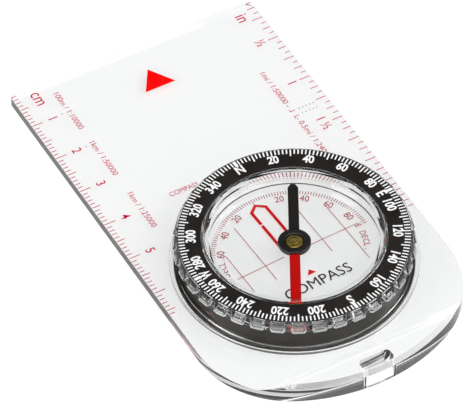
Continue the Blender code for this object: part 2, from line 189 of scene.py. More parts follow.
def open_group(name: str, kind: str, inputs: dict, outputs: dict) -> tuple[Bench, dict, Node]:
    """Starts a node group with named sockets.

    Args:
        name: the group's name.
        kind: Blender's name of the tree type.
        inputs: each input's socket type and default value (None for no default).
        outputs: each output's socket type.

    Returns:
        A bench for the tree, its inputs by name, and its output node.
    """
    tree = bpy.data.node_groups.new(name, kind)
    for label, (socket_type, value) in inputs.items():
        socket = tree.interface.new_socket(label, in_out="INPUT", socket_type=socket_type)
        if value is not None:
            socket.default_value = value
    for label, socket_type in outputs.items():
        tree.interface.new_socket(label, in_out="OUTPUT", socket_type=socket_type)
    bench = Bench(tree)
    entry = bench.add("NodeGroupInput")
    return bench, {label: entry.outputs[label] for label in inputs}, bench.add("NodeGroupOutput")


def handling_wear_group() -> NodeTree:
    """Finger smudges and hair scratches, for anything clear or polished.

    Returns:
        The group, with a Roughness and a Height output.
    """
    bench, given, out = open_group("handling_wear", "ShaderNodeTree", {
        "Clean Roughness": (FLOAT, 0.01), "Smudge": (FLOAT, 0.03), "Smudge Scale": (FLOAT, 90.0),
        "Scratch": (FLOAT, 0.05), "Scratch Scale": (FLOAT, 260.0)},
        {"Roughness": FLOAT, "Height": FLOAT})
    place = bench.here()
    cloud = bench.noise(place, given["Smudge Scale"], 3.0)
    smudge = bench.remap(cloud, 0.48, 0.72, 0.0, given["Smudge"])
    lines = []
    for turn, stretch in ((0.45, 22.0), (-1.1, 16.0)):
        run = bench.add("ShaderNodeMapping", {
            "Vector": place, "Rotation": (0.0, 0.0, turn), "Scale": (1.0, stretch, 1.0)})
        hair = bench.noise(run.outputs[0], given["Scratch Scale"], 1.0)
        lines.append(bench.remap(hair, 0.74, 0.80, 0.0, 1.0))
    scratch = bench.calc("MAXIMUM", *lines)
    rough = bench.calc("ADD", given["Clean Roughness"], smudge)
    bench.fit(out, {
        "Roughness": bench.calc("ADD", rough, bench.calc("MULTIPLY", scratch, given["Scratch"])),
        "Height": bench.calc("MULTIPLY", scratch, -1.0)})
    return bench.tree


def moulding_grain_group() -> NodeTree:
    """The fine skin of moulded or painted parts, with slow patches in its tone.

    Returns:
        The group, with a Height and a Tone output, both 0 to 1.
    """
    bench, given, out = open_group("moulding_grain", "ShaderNodeTree", {
        "Grain Scale": (FLOAT, 6000.0), "Patch Scale": (FLOAT, 180.0), "Speck": (FLOAT, 0.3)},
        {"Height": FLOAT, "Tone": FLOAT})
    place = bench.here()
    fine = bench.noise(place, given["Grain Scale"], 2.0)
    patch = bench.noise(place, given["Patch Scale"], 4.0)
    speck = bench.remap(fine, 0.62, 0.70, 0.0, given["Speck"])
    tone = bench.calc("ADD", bench.remap(patch, 0.35, 0.7, 0.0, 1.0), speck)
    bench.fit(out, {"Height": fine, "Tone": bench.calc("MINIMUM", tone, 1.0)})
    return bench.tree


def ink_coverage_group() -> NodeTree:
    """How thick pad-printed ink lies: solid, with fine lighter pinholes and a mottle.

    Returns:
        The group, with a Cover output, 1 where the ink is solid.
    """
    bench, given, out = open_group("ink_coverage", "ShaderNodeTree", {
        "Mottle Scale": (FLOAT, 900.0), "Pinhole Scale": (FLOAT, 9000.0)}, {"Cover": FLOAT})
    place = bench.here()
    mottle = bench.noise(place, given["Mottle Scale"], 3.0)
    hole = bench.add("ShaderNodeTexVoronoi", {"Vector": place, "Scale": given["Pinhole Scale"]})
    solid = bench.remap(mottle, 0.3, 0.55, 0.75, 1.0)
    pierced = bench.remap(hole.outputs["Distance"], 0.05, 0.16, 0.7, 1.0)
    bench.fit(out, {"Cover": bench.calc("MULTIPLY", solid, pierced)})
    return bench.tree


def turning_marks_group() -> NodeTree:
    """The fine rings that a lathe leaves, round the line that the vector is measured from.

    Returns:
        The group, with a Height output.
    """
    bench, given, out = open_group("turning_marks", "ShaderNodeTree", {
        "Vector": ("NodeSocketVector", None), "Pitch": (FLOAT, 0.06 * MM)}, {"Height": FLOAT})
    flat = bench.add("ShaderNodeVectorMath", {0: given["Vector"], 1: (1.0, 1.0, 0.0)}, operation="MULTIPLY")
    reach = bench.add("ShaderNodeVectorMath", {0: flat.outputs[0]}, operation="LENGTH")
    turn = bench.calc("MULTIPLY", bench.calc("DIVIDE", reach.outputs["Value"], given["Pitch"]), 2 * pi)
    bench.fit(out, {"Height": bench.calc("SINE", turn)})
    return bench.tree


def close_shape(bench: Bench, shape: NodeSocket, finish: NodeSocket, out: Node) -> NodeTree:
    """Ends a geometry tree with plain mesh in one finish.

    Args:
        bench: the tree's bench.
        shape: what the tree has made.
        finish: the material that it gets.
        out: the tree's output node.

    Returns:
        The tree.
    """
    solid = bench.add("GeometryNodeRealizeInstances", {"Geometry": shape})
    dressed = bench.add("GeometryNodeSetMaterial", {"Geometry": solid.outputs[0], "Material": finish})
    bench.feed(out.inputs[0], dressed.outputs[0])
    return bench.tree


def tick_tree(layout: Layout) -> NodeTree:
    """Graduation ticks, on a straight edge or round a dial.

    Tick number n lies at Start + n x Pitch, which is a distance along +Y or an angle
    clockwise from +Y. Every tick is a thin bar that ends on the edge, or on the circle, at
    distance Edge from the middle and runs inwards.

    Args:
        layout: straight or round.

    Returns:
        The geometry tree.
    """
    bench, given, out = open_group(f"{layout.value}_ticks", "GeometryNodeTree", {
        "Count": (WHOLE, 10), "First": (WHOLE, 0), "Start": (FLOAT, 0.0), "Pitch": (FLOAT, MM),
        "Edge": (FLOAT, 10 * MM), "Inwards": (FLOAT, -1.0), "Short": (FLOAT, MM),
        "Middle Every": (WHOLE, 5), "Middle": (FLOAT, MM), "Long Every": (WHOLE, 10),
        "Long": (FLOAT, MM), "Line": (FLOAT, 0.1 * MM), "Depth": (FLOAT, PRINT_DEPTH),
        "Level": (FLOAT, 0.0), "Finish": (FINISH, None)}, {"Geometry": SHAPE})
    count = bench.calc("ADD", bench.add("GeometryNodeInputIndex").outputs[0], given["First"])
    length = given["Short"]
    for kind in ("Middle", "Long"):
        rest = bench.calc("FLOORED_MODULO", count, given[f"{kind} Every"])
        length = bench.add("GeometryNodeSwitch", {
            "Switch": bench.compare(rest, 0.0, "EQUAL"), "False": length, "True": given[kind]},
            input_type="FLOAT").outputs[0]
    along = bench.calc("ADD", given["Start"], bench.calc("MULTIPLY", count, given["Pitch"]))
    half = bench.calc("MULTIPLY", bench.calc("MULTIPLY", length, 0.5), given["Inwards"])
    middle = bench.calc("ADD", given["Edge"], half)
    if layout is Layout.STRAIGHT:
        spot = bench.vector(middle, along, given["Level"])
        turn = bench.vector(0.0, 0.0, 0.0)
    else:
        east = bench.calc("MULTIPLY", middle, bench.calc("SINE", along))
        north = bench.calc("MULTIPLY", middle, bench.calc("COSINE", along))
        spot = bench.vector(east, north, given["Level"])
        turn = bench.vector(0.0, 0.0, bench.calc("SUBTRACT", pi / 2, along))
    row = bench.add("GeometryNodeMeshLine", {"Count": given["Count"]})
    placed = bench.add("GeometryNodeSetPosition", {"Geometry": row.outputs[0], "Position": spot})
    bar = bench.add("GeometryNodeMeshCube", {"Size": (1.0, 1.0, 1.0)})
    bars = bench.add("GeometryNodeInstanceOnPoints", {
        "Points": placed.outputs[0], "Instance": bar.outputs[0], "Rotation": turn,
        "Scale": bench.vector(length, given["Line"], given["Depth"])})
    return close_shape(bench, bars.outputs[0], given["Finish"], out)


def rib_tree() -> NodeTree:
    """Finger ribs: a ring's outer skin is drawn in between even ribs.

    The ribs fade from full depth at the radius Tip to nothing at the radius Skin.

    Returns:
        The geometry tree, which works on a ring round the Z axis.
    """
    bench, given, out = open_group("finger_ribs", "GeometryNodeTree", {
        "Geometry": (SHAPE, None), "Ribs": (WHOLE, 36), "Depth": (FLOAT, 0.7 * MM),
        "Skin": (FLOAT, 20 * MM), "Tip": (FLOAT, 21 * MM), "Top": (FLOAT, 0.5),
        "Flank": (FLOAT, 0.15), "Heading": (FLOAT, 0.0), "Finish": (FINISH, None)},
        {"Geometry": SHAPE})
    place = bench.add("GeometryNodeInputPosition").outputs[0]
    x, y, z = bench.add("ShaderNodeSeparateXYZ", {0: place}).outputs
    around = bench.calc("SUBTRACT", bench.calc("ARCTAN2", x, y), given["Heading"])
    turns = bench.calc("MULTIPLY", bench.calc("DIVIDE", around, 2 * pi), given["Ribs"])
    phase = bench.calc("SUBTRACT", bench.calc("FRACT", bench.calc("ADD", turns, 0.5)), 0.5)
    away = bench.calc("MULTIPLY", bench.calc("ABSOLUTE", phase), 2.0)
    fall = bench.add("ShaderNodeMapRange", {
        "Value": away, "From Min": given["Top"], "From Max": bench.calc("ADD", given["Top"], given["Flank"]),
        "To Min": 0.0, "To Max": given["Depth"]}, interpolation_type="SMOOTHSTEP").outputs["Result"]
    squares = bench.calc("ADD", bench.calc("MULTIPLY", x, x), bench.calc("MULTIPLY", y, y))
    reach = bench.calc("SQRT", squares)
    share = bench.remap(reach, given["Skin"], given["Tip"], 0.0, 1.0)
    shrink = bench.calc("DIVIDE", bench.calc("SUBTRACT", reach, bench.calc("MULTIPLY", fall, share)), reach)
    moved = bench.vector(bench.calc("MULTIPLY", x, shrink), bench.calc("MULTIPLY", y, shrink), z)
    ribbed = bench.add("GeometryNodeSetPosition", {
        "Geometry": given["Geometry"], "Position": moved,
        "Selection": bench.compare(reach, given["Skin"], "GREATER_THAN")})
    return close_shape(bench, ribbed.outputs[0], given["Finish"], out)


# ---------------------------------------------------------------- finishes


@dataclass(frozen=True)
class Effects:
    """The shader groups that the finishes share."""

    wear: NodeTree = field(default_factory=handling_wear_group)
    grain: NodeTree = field(default_factory=moulding_grain_group)
    coverage: NodeTree = field(default_factory=ink_coverage_group)
    turning: NodeTree = field(default_factory=turning_marks_group)


@dataclass(frozen=True)
class Finish:
    """One finish of the compass. Each kind of finish dresses its shader in its own way."""

    name: str

    def build(self, effects: Effects, axis: Vector) -> Material:
        """Makes the material.

        Args:
            effects: the shared groups.
            axis: the point that the dial and the needle turn about.

        Returns:
            The material.
        """
        material = bpy.data.materials.new(self.name)
        material.use_nodes = True
        shader = material.node_tree.nodes["Principled BSDF"]
        self.dress(Bench(material.node_tree), shader, effects, axis)
        return material

    def dress(self, bench: Bench, shader: Node, effects: Effects, axis: Vector) -> None:
        """Sets up the shader.

        Args:
            bench: a bench for the material's tree.
            shader: its Principled shader.
            effects: the shared groups.
            axis: the point that the dial and the needle turn about.
        """
        raise NotImplementedError


@dataclass(frozen=True)
class ClearPlastic(Finish):
    """Clear acrylic. Where it touches the capsule's liquid it bends light far less."""

    index: float
    tint: Colour = (0.985, 0.992, 0.99)
    shade: Colour = (0.95, 0.955, 0.955)
    smudge: float = 0.012
    scratch: float = 0.02
    specular: float = 0.5

    def dress(self, bench: Bench, shader: Node, effects: Effects, axis: Vector) -> None:
        """Sets up the shader, which lets shadow and diffuse light straight through."""
        wear = bench.group(effects.wear, clean_roughness=0.0, smudge=self.smudge, scratch=self.scratch)
        bench.fit(shader, {
            "Base Color": self.tint, "Transmission Weight": 1.0, "IOR": self.index,
            "Specular IOR Level": self.specular, "Roughness": wear.outputs["Roughness"]})
        bench.bump(shader, wear.outputs["Height"], 0.15, 0.002 * MM)
        ray = bench.add("ShaderNodeLightPath")
        passing = bench.calc("MAXIMUM", ray.outputs["Is Shadow Ray"], ray.outputs["Is Diffuse Ray"])
        through = bench.add("ShaderNodeBsdfTransparent", {"Color": self.shade})
        either = bench.add("ShaderNodeMixShader", {0: passing, 1: shader.outputs[0], 2: through.outputs[0]})
        bench.feed(bench.tree.nodes["Material Output"].inputs["Surface"], either.outputs[0])


@dataclass(frozen=True)
class MouldedPlastic(Finish):
    """Opaque moulded plastic with a fine skin."""

    colour: Colour
    worn: Colour
    roughness: float
    specular: float
    grain_scale: float = 5000.0

    def dress(self, bench: Bench, shader: Node, effects: Effects, axis: Vector) -> None:
        """Sets up the shader, duller where its tone is worn."""
        skin = bench.group(effects.grain, grain_scale=self.grain_scale)
        tone = skin.outputs["Tone"]
        bench.fit(shader, {
            "Base Color": bench.blend(tone, self.colour, self.worn),
            "Roughness": bench.remap(tone, 0.0, 1.0, self.roughness, self.roughness + 0.12),
            "Specular IOR Level": self.specular})
        bench.bump(shader, skin.outputs["Height"], 0.3, 0.01 * MM)


@dataclass(frozen=True)
class Ink(Finish):
    """Pad-printed ink."""

    solid: Colour
    thin: Colour
    specular: float = 0.15

    def dress(self, bench: Bench, shader: Node, effects: Effects, axis: Vector) -> None:
        """Sets up the shader, paler and rougher where the ink lies thin."""
        cover = bench.group(effects.coverage).outputs["Cover"]
        bench.fit(shader, {
            "Base Color": bench.blend(cover, self.thin, self.solid),
            "Roughness": bench.remap(cover, 0.5, 1.0, 0.7, 0.5), "Specular IOR Level": self.specular})
        bench.bump(shader, cover, 0.2, 0.004 * MM)


@dataclass(frozen=True)
class NeedlePaint(Finish):
    """Lacquer in two colours that meet under the hub, laid along the needle."""

    ahead: Colour
    behind: Colour
    roughness: float = 0.32
    dull_roughness: float = 0.42
    dimming: float = 0.8
    specular: float = 0.08
    half_border: float = 0.05 * MM

    def dress(self, bench: Bench, shader: Node, effects: Effects, axis: Vector) -> None:
        """Sets up the shader: how far along the needle a point lies picks its colour."""
        along = bench.add("ShaderNodeMapping", {
            "Vector": bench.here(), "Location": axis, "Rotation": (0.0, 0.0, radians(-NEEDLE_HEADING))},
            vector_type="TEXTURE")
        distance = bench.add("ShaderNodeSeparateXYZ", {0: along.outputs[0]}).outputs["Y"]
        front = bench.remap(distance, -self.half_border, self.half_border, 0.0, 1.0)
        skin = bench.group(effects.grain, grain_scale=2200.0, speck=0.1)
        tone = skin.outputs["Tone"]
        ahead, behind = (
            bench.blend(tone, colour, tuple(self.dimming * part for part in colour))
            for colour in (self.ahead, self.behind))
        bench.fit(shader, {
            "Base Color": bench.blend(front, behind, ahead),
            "Roughness": bench.remap(tone, 0.0, 1.0, self.roughness, self.dull_roughness),
            "Specular IOR Level": self.specular})
        bench.bump(shader, skin.outputs["Height"], 0.15, 0.006 * MM)


@dataclass(frozen=True)
class TurnedMetal(Finish):
    """Bare metal from the lathe, with its fine rings and light handling marks."""

    colour: Colour
    dull: Colour
    roughness: float
    pitch: float = 0.07 * MM

    def dress(self, bench: Bench, shader: Node, effects: Effects, axis: Vector) -> None:
        """Sets up the shader, its rings round the axis."""
        centred = bench.add("ShaderNodeMapping", {"Vector": bench.here(), "Location": -axis})
        rings = bench.group(effects.turning, vector=centred.outputs[0], pitch=self.pitch)
        skin = bench.group(effects.grain, grain_scale=3000.0, patch_scale=900.0)
        wear = bench.group(
            effects.wear, clean_roughness=self.roughness, smudge=0.1, smudge_scale=700.0, scratch=0.1,
            scratch_scale=1500.0)
        bench.fit(shader, {
            "Base Color": bench.blend(skin.outputs["Tone"], self.colour, self.dull),
            "Roughness": wear.outputs["Roughness"], "Metallic": 1.0})
        bench.bump(shader, rings.outputs["Height"], 0.25, 0.004 * MM)


@dataclass(frozen=True)
class Tabletop(Finish):
    """The plain pale surface that the compass lies on, a faintly lit light table."""

    colour: Colour = (0.40, 0.40, 0.402)
    patch_lift: float = 1.01
    glow: float = 0.64

    def dress(self, bench: Bench, shader: Node, effects: Effects, axis: Vector) -> None:
        """Sets up the shader, matt and evenly lit from within."""
        skin = bench.group(effects.grain, grain_scale=900.0, patch_scale=6.0, speck=0.0)
        paler = tuple(min(1.0, part * self.patch_lift) for part in self.colour)
        bench.fit(shader, {
            "Base Color": bench.blend(skin.outputs["Tone"], self.colour, paler), "Roughness": 0.9,
            "Specular IOR Level": 0.0, "Emission Color": (1.0, 1.0, 1.0), "Emission Strength": self.glow})


@dataclass
class Palette:
    """Every finish of the compass, built once."""

    axis: Vector
    effects: Effects = field(default_factory=Effects)

    def __post_init__(self) -> None:
        """Builds the materials."""
        self.acrylic = self.made(ClearPlastic("clear_acrylic", 1.49))
        self.wetted = self.made(ClearPlastic("acrylic_in_liquid", 1.06, smudge=0.0, scratch=0.0))
        # The plate's side faces get a darker reddish tint: a painted reflection of the red ruler prints seen
        # in the side walls.
        self.edge = self.made(ClearPlastic("acrylic_edge_painted_red_reflection", 1.49, tint=(0.55, 0.30, 0.30), specular=0.15))
        self.black = self.made(MouldedPlastic(
            "black_moulding", (0.010, 0.008, 0.006), (0.022, 0.018, 0.012), 0.3, 0.4))
        self.scale = self.made(MouldedPlastic(
            "black_scale", (0.010, 0.008, 0.007), (0.016, 0.013, 0.012), 0.4, 0.2, 8000.0))
        self.gloss = self.made(MouldedPlastic(
            "gloss_black", (0.008, 0.007, 0.006), (0.012, 0.010, 0.008), 0.06, 0.5))
        self.jewel = self.made(ClearPlastic("jewel", 1.76, tint=(0.85, 0.25, 0.35), smudge=0.01))
        self.white_ink = self.made(Ink("white_ink", (0.93, 0.93, 0.93), (0.80, 0.80, 0.80)))
        self.red_ink = self.made(Ink("red_ink", (0.90, 0.0, 0.0), (0.85, 0.02, 0.02), 0.05))
        self.crimson_ink = self.made(Ink("crimson_ink", (0.54, 0.0, 0.05), (0.60, 0.02, 0.08), 0.05))
        self.black_ink = self.made(Ink("black_ink", (0.012, 0.010, 0.010), (0.05, 0.045, 0.045), 0.1))
        self.grey_ink = self.made(Ink("grey_ink", (0.28, 0.28, 0.29), (0.42, 0.42, 0.43), 0.1))
        self.paint = self.made(NeedlePaint("painted_steel", (0.014, 0.011, 0.010), (0.60, 0.0, 0.0)))
        self.brass = self.made(TurnedMetal("brass", (0.56, 0.43, 0.09), (0.30, 0.22, 0.04), 0.18))
        self.steel = self.made(TurnedMetal("hard_steel", (0.62, 0.62, 0.60), (0.40, 0.40, 0.38), 0.2))
        self.table = self.made(Tabletop("pale_tabletop"))

    def made(self, finish: Finish) -> Material:
        """Builds one finish with the shared groups."""
        return finish.build(self.effects, self.axis)


# ---------------------------------------------------------------- shapes


def arc(centre: Point, radius: float, start: float, end: float, steps: int) -> list[Point]:
    """Finds points of an arc.

    Args:
        centre: its middle.
        radius: its radius.
        start: the first angle, in degrees.
        end: the last angle, in degrees.
        steps: how many chords it has.

    Returns:
        The points, both ends included.
    """
    turns = [radians(start + (end - start) * i / steps) for i in range(steps + 1)]
    return [(centre[0] + radius * cos(a), centre[1] + radius * sin(a)) for a in turns]


def corner(r: float, z: float, ease: float, start: float, steps: int = 3) -> list[Point]:
    """Rounds one corner of a section.

    Args:
        r: the sharp corner's radius.
        z: its height.
        ease: radius of the rounding.
        start: where its quarter turn starts: -90, 0, 90 or 180 degrees.
        steps: how many chords it has.

    Returns:
        The (radius, z) points.
    """
    centre = (r - ease if start < 90 else r + ease, z - ease if start in (0, 90) else z + ease)
    return arc(centre, ease, start, start + 90, steps)


def eased_ring(
        inner: float, outer: float, low: float, high: float, ease: float, steps: int = 3) -> list[Point]:
    """Finds a ring's section with rounded corners.

    Args:
        inner: inner radius.
        outer: outer radius.
        low: underside.
        high: top.
        ease: radius of the corners.
        steps: chords in each corner.

    Returns:
        The (radius, z) outline.
    """
    sharp = ((outer, high, 0), (inner, high, 90), (inner, low, 180), (outer, low, -90))
    return [point for r, z, start in sharp for point in corner(r, z, ease, start, steps)]


def turned(profile: Iterable[Point], segments: int) -> BMesh:
    """Turns a closed (radius, z) outline round the Z axis.

    Args:
        profile: the outline's points, in order.
        segments: steps round the axis.

    Returns:
        The shape.
    """
    bm = bmesh.new()
    verts = [bm.verts.new((r, 0.0, z)) for r, z in profile]
    sides = zip(verts, verts[1:] + verts[:1])
    edges = [bm.edges.new((a, b)) for a, b in sides if a.co.x + b.co.x > 0]
    bmesh.ops.spin(
        bm, geom=verts + edges, cent=(0, 0, 0), axis=(0, 0, 1),
        angle=2 * pi, steps=segments, use_merge=False, use_duplicate=False)
    return bm


def extruded(outline: Sequence[Point], low: float, high: float) -> BMesh:
    """Extrudes a closed (x, y) outline.

    Args:
        outline: its points, in order.
        low: underside.
        high: top.

    Returns:
        The shape.
    """
    bm = bmesh.new()
    face = bm.faces.new([bm.verts.new((x, y, low)) for x, y in outline])
    result = bmesh.ops.extrude_face_region(bm, geom=[face])
    top = [item for item in result["geom"] if isinstance(item, bmesh.types.BMVert)]
    bmesh.ops.translate(bm, verts=top, vec=(0, 0, high - low))
    return bm


def stroke(path: Sequence[Point], width: float) -> BMesh:
    """Draws a printed line of even width with mitred corners.

    Args:
        path: the middle of the line.
        width: its width.

    Returns:
        The line as a thin solid, its underside at z = 0.
    """
    left: list[Point] = []
    right: list[Point] = []
    for i, here in enumerate(path):
        before = Vector(path[max(i - 1, 0)])
        after = Vector(path[min(i + 1, len(path) - 1)])
        spot = Vector(here)
        ways = [way.normalized() for way in (spot - before, after - spot) if way.length > 0]
        run = sum(ways, Vector((0.0, 0.0))).normalized()
        side = Vector((-run.y, run.x))
        reach = width / 2 / max(0.3, abs(side.dot(Vector((-ways[0].y, ways[0].x)))))
        left.append(tuple(spot + side * reach))
        right.append(tuple(spot - side * reach))
    return extruded(left + right[::-1], 0.0, PRINT_DEPTH)


def lettering(text: str, height: float, weight: float = 0.0, squeeze: float = LETTER_SQUEEZE) -> BMesh:
    """Sets a line of generic lettering.

    Args:
        text: what it says.
        height: height of a capital letter.
        weight: how far each stroke is fattened.
        squeeze: width of the letters as a share of their normal width.

    Returns:
        The letters as thin solids, centred on the origin, their underside at z = 0.
    """
    cap_share = 0.73
    curve = bpy.data.curves.new("lettering", "FONT")
    curve.body = text
    curve.size = height / cap_share
    curve.offset = weight
    curve.extrude = PRINT_DEPTH / 2
    curve.resolution_u = 3
    curve.fill_mode = "BOTH"
    thing = bpy.data.objects.new("lettering", curve)
    bpy.context.collection.objects.link(thing)
    graph = bpy.context.evaluated_depsgraph_get()
    mesh = bpy.data.meshes.new_from_object(thing.evaluated_get(graph))
    bm = bmesh.new()
    bm.from_mesh(mesh)
    bpy.data.objects.remove(thing, do_unlink=True)
    bpy.data.curves.remove(curve)
    bpy.data.meshes.remove(mesh)
    spots = [vert.co for vert in bm.verts]
    middle = (min(p.x for p in spots) + max(p.x for p in spots)) / 2
    bmesh.ops.translate(bm, verts=bm.verts, vec=(-middle, -height / 2, PRINT_DEPTH / 2))
    bmesh.ops.scale(bm, verts=bm.verts, vec=(squeeze, 1.0, 1.0))
    return bm


def joined(parts: Parts) -> BMesh:
    """Puts several shapes in one.

    Args:
        parts: each shape with its place.

    Returns:
        The joint shape.
    """
    whole = bmesh.new()
    for part, place in parts:
        mesh = bpy.data.meshes.new("part")
        part.transform(place)
        part.to_mesh(mesh)
        part.free()
        whole.from_mesh(mesh)
        bpy.data.meshes.remove(mesh)
    return whole


def soften(thing: Object, smooth_below: float = 35.0) -> None:
    """Shades a piece smooth, apart from edges sharper than an angle in degrees."""
    thing.data.shade_smooth()
    thing.data.set_sharp_from_angle(angle=radians(smooth_below))


def to_object(name: str, bm: BMesh, finishes: Sequence[Material] = ()) -> Object:
    """Puts a finished shape in the scene.

    Args:
        name: the object's name.
        bm: the shape, which is used up.
        finishes: its materials.

    Returns:
        The object.
    """
    bmesh.ops.remove_doubles(bm, verts=bm.verts, dist=1e-7)
    bmesh.ops.recalc_face_normals(bm, faces=bm.faces)
    mesh = bpy.data.meshes.new(name)
    bm.to_mesh(mesh)
    bm.free()
    for finish in finishes:
        mesh.materials.append(finish)
    thing = bpy.data.objects.new(name, mesh)
    soften(thing)
    bpy.context.collection.objects.link(thing)
    return thing


def bake(thing: Object) -> Object:
    """Turns an object's modifiers into plain mesh and removes them."""
    graph = bpy.context.evaluated_depsgraph_get()
    mesh = bpy.data.meshes.new_from_object(thing.evaluated_get(graph))
    thing.modifiers.clear()
    thing.data = mesh
    return thing


def add_step(thing: Object, kind: str, **settings: object) -> None:
    """Adds one modifier to an object."""
    step = thing.modifiers.new(kind.lower(), kind)
    for key, value in settings.items():
        setattr(step, key, value)


def carve(target: Object, cutters: Iterable[BMesh]) -> Object:
    """Takes shapes away from an object.

    Args:
        target: what is cut.
        cutters: the shapes, which are used up.

    Returns:
        The target, with plain mesh.
    """
    tools = [to_object("cutter", cutter) for cutter in cutters]
    for tool in tools:
        add_step(target, "BOOLEAN", operation="DIFFERENCE", solver="EXACT", object=tool)
    bake(target)
    for tool in tools:
        bpy.data.objects.remove(tool, do_unlink=True)
    return target


def ease_edges(thing: Object, width: float) -> Object:
    """Rounds an object's sharp edges a little, as a mould leaves them."""
    add_step(thing, "BEVEL", width=width, segments=2, limit_method="ANGLE", angle_limit=radians(30),
             use_clamp_overlap=True)
    soften(bake(thing))
    return thing


def true_up(thing: Object) -> None:
    """Lets the widest faces set the shading, so that flats look flat right up to their eased edges."""
    add_step(thing, "WEIGHTED_NORMAL", mode="FACE_AREA", weight=WIDE_FACE_WEIGHT, keep_sharp=True)
    bake(thing)


def grow(name: str, tree: NodeTree, values: dict, base: Object | None = None) -> Object:
    """Runs a geometry tree once and keeps its result as plain mesh.

    Args:
        name: the object's name.
        tree: the geometry tree.
        values: its inputs by name.
        base: the object that it works on, or none if it needs none.

    Returns:
        The object.
    """
    thing = base or to_object(name, bmesh.new())
    step = thing.modifiers.new(tree.name, "NODES")
    step.node_group = tree
    for item in tree.interface.items_tree:
        if item.item_type == "SOCKET" and item.in_out == "INPUT" and item.name in values:
            step[item.identifier] = values[item.name]
    return bake(thing)


def shift(x: float = 0.0, y: float = 0.0, z: float = 0.0) -> Matrix:
    """A move by some distance along each axis."""
    return Matrix.Translation((x, y, z))


def swing(heading: float) -> Matrix:
    """A turn about the Z axis, clockwise seen from above, in degrees."""
    return Matrix.Rotation(radians(-heading), 4, "Z")


def put(thing: Object, place: Matrix) -> Object:
    """Moves an object's mesh to its place and leaves the object at the origin."""
    thing.data.transform(place)
    thing.data.update()
    return thing


def mount(piece: Object, body: Body, solid: str = "", crisp: bool = True) -> None:
    """Makes a piece ride on a body, and reports it.

    Args:
        piece: the finished piece.
        body: what it moves with.
        solid: the solid that it replaces, or nothing for a print.
        crisp: False for a piece whose flats look softly rounded.
    """
    if crisp:
        true_up(piece)
    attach(piece, body.value)
    if solid:
        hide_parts(solid)
    LOG.info("%s on %s: %d faces", piece.name, body.value, len(piece.data.polygons))


def span(solid: str) -> tuple[float, float, float]:
    """Reads a round solid's outer radius, underside and top from the frame."""
    low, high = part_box(solid)
    return (high.x - low.x) / 2, low.z, high.z


@dataclass
class SubAssembly:
    """Pieces that ride on one body, centred on the axis of the dial and the needle."""

    palette: Palette
    axis: Vector
    body = Body.DIAL
    heading = DIAL_HEADING

    @property
    def place(self) -> Matrix:
        """Where the sub-assembly lies at rest."""
        return shift(self.axis.x, self.axis.y) @ swing(self.heading)

    def turn_up(
            self, name: str, profile: Iterable[Point], finish: Material, solid: str, slot: str,
            segments: int = ROUND_SEGMENTS) -> None:
        """Turns a piece from its section and mounts it in its place.

        Args:
            name: the piece's name.
            profile: its closed (radius, z) outline.
            finish: its material.
            solid: the solid that it replaces.
            slot: the record's material slot; not used.
            segments: steps round the axis.
        """
        piece = to_object(name, turned(profile, segments), [finish])
        mount(put(piece, self.place), self.body, solid)

    def lay(self, name: str, parts: Parts, ink: Material, level: float) -> None:
        """Prints shapes as one piece, its underside at a level."""
        piece = put(to_object(name, joined(parts), [ink]), self.place @ shift(z=level))
        mount(piece, self.body)


# ---------------------------------------------------------------- the plate


